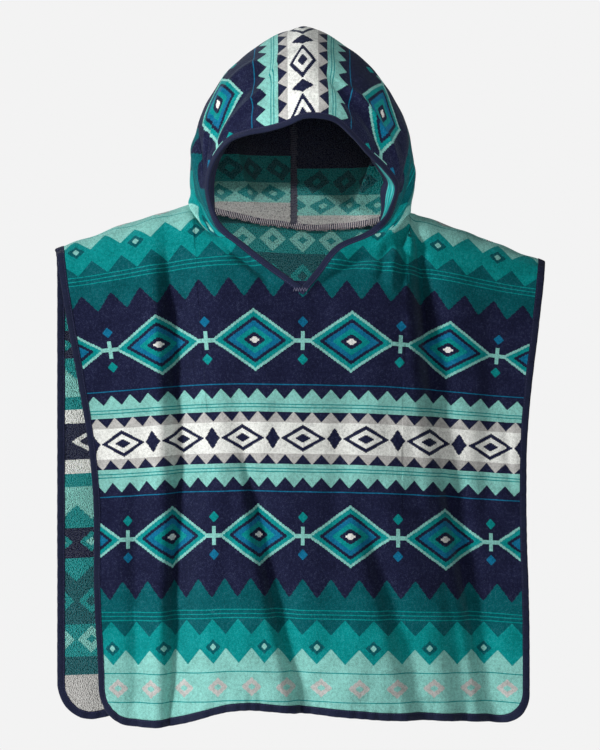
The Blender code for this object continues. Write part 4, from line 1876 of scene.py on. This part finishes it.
@dataclass
class FaceTape:
    """The tape round the face opening, from the slit's point up both sides to the top.

    Attributes:
        reach: How far its fold stands from the cloth's edge.
        mitre: Share of that reach by which it starts up the slit at the slit's point.
        mitre_length: How far up the mitre is felt.
        top_rise: Rise up to which the hood's own normals are read.
        window: Stations over which the normals are averaged.
    """

    reach: float = 0.007
    mitre: float = 0.9
    mitre_length: float = 0.03
    slit_stations: int = 60
    rim_stations: int = 190
    top_rise: float = 0.99
    window: int = 15

    def half_path(self, sign: int) -> Arrays:
        """Return points and smoothed normals of half the opening's edge, from its lowest point."""
        x, v = NECK.slit_point(shares(self.slit_stations), sign)
        rise = shares(self.rim_stations)[1:]
        face = np.full(len(rise), HOOD.face_turn)
        points = chain(FRONT.place(x, v), HOOD.place(face, rise, sign))
        steady = np.minimum(rise, self.top_rise)
        normals = chain(FRONT.normal(x, v), HOOD.normal(face, steady, sign))
        padded = np.pad(normals, ((self.window // 2,) * 2, (0, 0)), mode="edge")
        kernel = np.full(self.window, 1.0 / self.window)
        averaged = [np.convolve(column, kernel, "valid") for column in padded.T]
        return points, unit(pack(*averaged))

    def half_sections(self, sign: int, distance: Array, height: Array) -> Array:
        """Place points beside half the edge.

        Args:
            sign: -1 on the left, 1 on the right.
            distance: Distances from the cloth's edge into the opening, shape (k,).
            height: Heights over the cloth, shape (k,).

        Returns:
            Shape (stations, k, 3).
        """
        points, normals = self.half_path(sign)
        across = sign * unit(np.cross(normals, np.gradient(points, axis=0)))
        across[-1] = unit(across[-1] * (0.0, 1.0, 1.0))
        normals[-1] = unit(normals[-1] * (0.0, 1.0, 1.0))
        length = path_length(points)
        fade = np.maximum(0.0, 1.0 - length / self.mitre_length)[:, None]
        at = np.clip(length[:, None] + self.mitre * distance * fade, 0.0, length[-1])
        edge, lean, lift = (read_path(a, at, length) for a in (points, across, normals))
        return edge + unit(lean) * distance[:, None] + unit(lift) * height[:, None]

    def ring(self, distance: Array, height: Array) -> Array:
        """Place points beside the whole edge, as a closed ring of sections."""
        left = self.half_sections(-1, distance, height)
        right = self.half_sections(1, distance, height)
        low = 0.5 * (left[:1] + right[:1])
        top = 0.5 * (left[-1:] + right[-1:])
        return chain(low, left[1:-1], top, right[-2:0:-1])

    def build(self, finish: Material) -> Object:
        """Make the tape."""
        section = FACE_TAPE.section()
        sections = self.ring(self.reach - section[:, 0], section[:, 1])
        return swept("hood_tape", sections, finish, closed=True)

    def build_stitches(self, finish: Material) -> Object:
        """Make the stitches that hold the tape."""
        faces = Faces()
        inset, height = FACE_TAPE.seat()
        rows = self.ring(np.full(2, self.reach - inset), np.array([height, -height]))
        up = unit(rows[:, 0] - rows[:, 1])
        STITCH.add(faces, rows[:, 0], up)
        STITCH.add(faces, rows[:, 1], -up)
        return faces.build("hood_stitches", [finish])


@frozen
class Cheek:
    """A strip inside the face opening beside a cheek, where the edge rolls in.

    Attributes:
        sign: -1 on the left, 1 on the right.
        low, high: Heights of its ends.
        first, last: Its two edges: distance from the cloth's edge, and height over the cloth.
        top_row, row_rate: Its woven row at its top, and how fast the rows pass down it.
        half: Half its thickness.
        foot: Where it tapers to: distance from the cloth's edge, and height.
    """

    name: str
    sign: int
    low: float
    high: float
    first: Pair
    last: Pair
    top_row: float = 0.23
    row_rate: float = 0.05
    half: float = 0.0008
    foot: Pair = (0.003, -0.0005)
    columns: int = 9

    def build(self, face: FaceTape, finish: Material) -> Object:
        """Make the strip, which swells from the edge as sin(pi * share of its length) ^ 0.5."""
        step = shares(self.columns)
        distance = self.first[0] + (self.last[0] - self.first[0]) * step
        height = self.first[1] + (self.last[1] - self.first[1]) * step
        points = face.half_sections(self.sign, distance, height)
        foot = face.half_sections(self.sign, *np.asarray(self.foot)[:, None])
        share = (foot[:, 0, 2] - self.low) / (self.high - self.low)
        kept = (share > 0.0) & (share < 1.0)
        swell = np.sin(math.pi * share[kept])[:, None, None] ** 0.5
        points = foot[kept] + (points[kept] - foot[kept]) * swell
        row = self.top_row + self.row_rate * (self.high - points[..., 2])
        half = np.full(row.shape, self.half)
        layout = pack(distance - height, row)
        return walled(self.name, [finish], points, grid_normals(points), half, layout)


CHEEK_TAPES = (
    Cheek("left_cheek_tape", -1, -0.004, 0.092, (0.003, -0.0024), (-0.001, -0.0116)),
    Cheek("right_cheek_tape", 1, -0.024, 0.068, (-0.001, -0.0142), (-0.006, -0.0255)),
)
CHEEK_ROLL = Cheek("right_cheek_roll", 1, -0.022, 0.066, (0.004, -0.0018), (-0.001, -0.0148))


@frozen
class Seams:
    """The seams' insides, and what strengthens the slit's point.

    Attributes:
        sunk: How far inside the cloth's middle an allowance lies.
        neck_lean: How steeply the neck seam's allowance leans down.
        trim: Stations left off at its ends.
        neck_gap, tip_gap: How far from the neck and the tip a shoulder's allowance ends.
        back_shift: How far the centre-back seam's allowance is pressed to the right.
        tack: The bar tack's ends from the centre line, its height and its half width.
        tack_gap: How high its thread lies over the tape.
        facing: The facing inside the point: its half widths and heights, top and bottom.
    """

    sunk: float = 0.0026
    neck_lean: float = 0.01
    neck_stations: int = 90
    shoulder_stations: int = 60
    trim: int = 2
    neck_gap: float = 0.006
    tip_gap: float = 0.014
    back_shift: float = 0.0035
    tack: Four = (-0.0125, 0.0055, -0.0985, 0.0023)
    tack_turns: int = 5
    tack_steps: int = 6
    tack_radius: float = 0.00045
    tack_gap: float = 0.0006
    tack_corners: int = 6
    facing: Four = (0.019, 0.011, -0.088, -0.118)
    facing_half: float = 0.0006
    facing_grid: tuple[int, int] = (24, 32)

    def neck_path(self) -> Arrays:
        """Return the back neck seam's allowance, from shoulder to shoulder, and its way up."""
        share = np.linspace(1.0, 0.0, self.neck_stations)
        left = BACK.place(*NECK.back_seam(share, -1))
        right = BACK.place(*NECK.back_seam(share[-2::-1], 1))
        seam = chain(left, right)[self.trim:-self.trim]
        inward = unit(-seam * (1.0, 1.0, 0.0) + (0.0, 0.0, -self.neck_lean))
        return seam + inward * self.sunk, inward

    def back_path(self, hood: "Hood") -> Arrays:
        """Return the centre-back seam's allowance, from the neck up over the head."""
        points, normals, _, _ = hood.surface()
        kept = slice(self.trim, points.shape[1] // 2 - self.trim)
        seam = points[-1, kept]
        inward = -normals[-1, kept]
        side = np.array([self.back_shift, 0.0, 0.0])
        return seam + inward * self.sunk + side, inward

    def shoulder_path(self, sign: int) -> Arrays:
        """Return a shoulder seam's allowance, from near the neck to near the tip."""
        first, last = CUT.neck_half_width + self.neck_gap, CUT.half_width - self.tip_gap
        x = sign * np.linspace(first, last, self.shoulder_stations)
        seam = FRONT.place(x, CUT.shoulder_v(x))
        down = np.broadcast_to((0.0, 0.0, -1.0), seam.shape)
        return seam + down * self.sunk, down

    def build_facing(self, finish: Material) -> Object:
        """Make the facing: a patch of tape that lies on the inside of the slit's point."""
        wide, narrow, top, bottom = self.facing
        rows, columns = self.facing_grid
        down = shares(rows)[:, None]
        x = np.linspace(-1.0, 1.0, columns)[None] * (wide + (narrow - wide) * down)
        v = FRONT.drop_to_height(x, top + (bottom - top) * down + 0 * x)
        normals = FRONT.normal(x, v)
        points = FRONT.place(x, v) - normals * (0.5 * CLOTH.thickness + 2 * self.facing_half)
        half = np.full(x.shape, self.facing_half)
        return walled("slit_facing", [finish], points, normals, half, pack(x, v))

    def build_tack(self, finish: Material) -> Object:
        """Make the bar tack: a zigzag over the tape at the slit's point."""
        low, high, height, half = self.tack
        count = 2 * self.tack_turns + 1
        x = np.linspace(low, high, self.tack_steps * count)
        phase = np.arange(len(x)) / self.tack_steps % 2
        wave = np.interp(phase, [0.0, 1.0, 2.0], [-half, half, -half])
        v = FRONT.drop_to_height(x, np.full(len(x), height))
        surface = FRONT.place(x, v)
        normal = FRONT.normal(x, v)
        stand = FACE_TAPE.half + self.tack_gap
        path = surface + normal * stand + wave[:, None] * (0.0, 0.0, 1.0)
        sections = tube_sections(path, normal, (self.tack_radius,) * 2, self.tack_corners)
        return swept("slit_tack", sections, finish)


SEAMS = Seams()


# ---- The scene ----


@frozen
class Lamp:
    """A soft square light that faces the object.

    Attributes:
        size: Of its side.
        power: In watts.
    """

    name: str
    place: Triple
    size: float
    power: float

    def hang(self, target: Array) -> None:
        """Add the light, facing a target."""
        light = bpy.data.lights.new(self.name, "AREA")
        light.size = self.size
        light.energy = self.power
        aim(light, self.place, target)


@frozen
class Spot:
    """A narrow soft-edged light that shines in through the face opening.

    Attributes:
        target: The point that it faces.
        power: In watts.
        radius: Of the lamp, which softens its shadows.
        angle: Of its cone, in degrees.
        blend: Share of the cone over which it fades out.
    """

    name: str
    place: Triple
    target: Triple
    power: float
    radius: float = 0.24
    angle: float = 4.9
    blend: float = 0.7

    def hang(self, lit: list[Object]) -> None:
        """Add the light for some pieces only; a black card would keep it off the others."""
        light = bpy.data.lights.new(self.name, "SPOT")
        light.energy = self.power
        light.shadow_soft_size = self.radius
        light.spot_size = math.radians(self.angle)
        light.spot_blend = self.blend
        receivers = bpy.data.collections.new(self.name)
        aim(light, self.place, self.target).light_linking.receiver_collection = receivers
        for piece in lit:
            receivers.objects.link(piece)


def aim(light: Light, place: tuple, target: Array | tuple) -> Object:
    """Hang a light at a place, turned to a target, and return its object."""
    made = bpy.data.objects.new(light.name, light)
    made.location = place
    made.rotation_euler = (Vector(target) - Vector(place)).to_track_quat("-Z", "Y").to_euler()
    bpy.context.scene.collection.objects.link(made)
    return made


LAMPS = (
    Lamp("key", (-2.7, -2.0, 0.4), 0.7, 96.0),
    Lamp("front", (0.2, -3.6, -0.1), 1.0, 14.0),
    Lamp("right", (2.4, -1.6, 0.3), 1.4, 1.5),
    Lamp("back", (-1.6, 2.5, 1.3), 2.0, 40.0),
)
FACE_SPOT = Spot("face", (0.45, -3.4, 1.1), (0.0, -0.02, -0.045), 900.0)


@frozen
class Studio:
    """The camera, the pale surround and the floor.

    Attributes:
        distance: Of the camera from the middle of the object.
        frame_share: Share of the frame's height that the object takes.
        surround, shown: Strength of the surround as light and as backdrop.
        below: How far under the towel the floor lies.
        radius, thick, pit: The floor's size, and the radius of the hole in its middle.
    """

    distance: float = 4.0
    frame_share: float = 0.93
    sensor: float = 36.0
    clip: float = 50.0
    surround: float = 0.2
    shown: float = 0.896
    below: float = 0.2
    radius: float = 1.2
    rings: int = 6
    corners: int = 48
    pit: float = 0.001
    thick: float = 0.01

    def build(self, low: Array, high: Array) -> None:
        """Set the scene up round the object's box."""
        centre = 0.5 * (low + high)
        self.camera(centre, (high[2] - low[2]) / self.frame_share)
        for lamp in LAMPS:
            lamp.hang(centre)
        self.world()
        self.floor(low[2] - self.below)

    def camera(self, centre: Array, field: float) -> None:
        """Stand the camera level in front of the object, with a frame of a height there."""
        scene = bpy.context.scene
        camera = bpy.data.cameras.new("camera")
        camera.sensor_width = self.sensor
        camera.lens = self.sensor * self.distance / field
        camera.clip_end = self.clip
        view = bpy.data.objects.new("camera", camera)
        view.location = (centre[0], -self.distance, centre[2])
        view.rotation_euler = (QUARTER, 0.0, 0.0)
        scene.collection.objects.link(view)
        scene.camera = view
        scene.view_settings.view_transform = "Standard"

    def world(self) -> None:
        """Make the surround: dim as a light, and pale where it is seen."""
        world = bpy.data.worlds.new("surround")
        bpy.context.scene.world = world
        world.use_nodes = True
        nodes, links = world.node_tree.nodes, world.node_tree.links
        shade = nodes["Background"]
        path = nodes.new("ShaderNodeLightPath")
        mix = nodes.new("ShaderNodeMix")
        mix.data_type = "FLOAT"
        mix.inputs["A"].default_value = self.surround
        mix.inputs["B"].default_value = self.shown
        links.new(path.outputs["Is Camera Ray"], mix.inputs["Factor"])
        links.new(mix.outputs["Result"], shade.inputs["Strength"])
        shade.inputs["Color"].default_value = (1.0, 1.0, 1.0, 1.0)

    def floor(self, level: float) -> None:
        """Lay the pale floor: a thin disc whose rings are evenly spaced."""
        angle = 2 * math.pi * np.arange(self.corners) / self.corners
        rings = self.radius * np.arange(1, self.rings + 1) / self.rings
        reach = chain([self.pit], rings, [self.radius, self.pit])
        height = np.where(np.arange(len(reach)) > self.rings, level - self.thick, level)
        reach, height = reach[:, None], height[:, None]
        sections = pack(reach * np.cos(angle), -reach * np.sin(angle), height)
        swept("floor", sections, Paper().build())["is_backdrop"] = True


@dataclass
class Towel:
    """The whole towel: it dresses the nodes and keeps each new piece's slot."""

    slots: dict[Object, str] = field(default_factory=dict)

    def note(self, slot: str, *pieces: Object) -> None:
        """Note pieces under a slot name in the towel's table."""
        self.slots |= dict.fromkeys(pieces, slot)

    def dress_panel(self, panel: Panel, finishes: list[Material],
                    twill: Material, thread: Material) -> None:
        """Build a panel's cloth, tape and stitches in the place of its two nodes."""
        cloth = panel.build_cloth(finishes)
        trim = [panel.build_tape(twill), panel.build_stitches(thread)]
        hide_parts(panel.name)
        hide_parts(panel.tape_name)
        self.note("velour_body", cloth)
        self.note("twill_binding", *trim)

    def dress_hood(self, hood: Hood, finishes: list[Material],
                   twill: Material, thread: Material) -> None:
        """Build the hood's cloth, its tape and stitches, and what lies in the face opening."""
        face = FaceTape()
        cloth = hood.build_cloth(finishes)
        tape = face.build(twill)
        trim = [tape, face.build_stitches(thread), SEAMS.build_facing(twill)]
        trim += [cheek.build(face, twill) for cheek in CHEEK_TAPES]
        roll = CHEEK_ROLL.build(face, finishes[1])
        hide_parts("hood")
        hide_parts("hood_binding")
        self.note("velour_hood", cloth, roll)
        self.note("twill_binding", *trim)

    def sew_seams(self, hood: Hood, cloth: Material) -> None:
        """Build the seams' overlocked allowances and the bar tack."""
        pale = Thread("loop_thread", "D2C8CA").build()
        # The centre-back seam's thread is a darker copy of the pale one: painted shade for the shadow
        # inside the hood's upper part.
        shaded_thread = Thread("painted_shade_thread", "6C6A78").build()
        seams = (("neck_seam", SEAMS.neck_path(), pale),
                 ("hood_back_seam", SEAMS.back_path(hood), shaded_thread),
                 ("left_shoulder_seam", SEAMS.shoulder_path(-1), pale),
                 ("right_shoulder_seam", SEAMS.shoulder_path(1), pale))
        for name, (path, up), thread in seams:
            self.note("velour_hood", *OVERLOCK.build(name, path, up, cloth, thread))
        self.note("twill_binding", SEAMS.build_tack(Thread("tack_thread", "5C5C74").build()))


def main() -> None:
    """Build the towel round its frame."""
    logging.basicConfig(level=logging.INFO, format="%(message)s")
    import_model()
    low, high = (np.asarray(corner, float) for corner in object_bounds())
    Studio().build(low, high)
    body = [Velour("body_velour", OUTSIDE).build(), Terry("body_terry", BODY_INSIDE).build()]
    lining = [Velour("hood_velour", OUTSIDE).build(), Terry("hood_terry", HOOD_INSIDE).build()]
    twill = Twill().build()
    thread = Thread("navy_thread", "3A3A60").build()
    towel = Towel()
    towel.dress_panel(Panel("front_panel", "front_binding", FRONT), body, twill, thread)
    towel.dress_panel(Panel("back_panel", "back_binding", BACK), body, twill, thread)
    hood = Hood()
    towel.dress_hood(hood, lining, twill, thread)
    towel.sew_seams(hood, lining[1])
    FACE_SPOT.hang([piece for piece in towel.slots if not piece.name.startswith("front_")])
    for piece, slot in towel.slots.items():
        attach(piece, BODY)
        LOG.info("%s: %d faces", piece.name, len(piece.data.polygons))
    low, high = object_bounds()


if __name__ == "__main__":
    main()
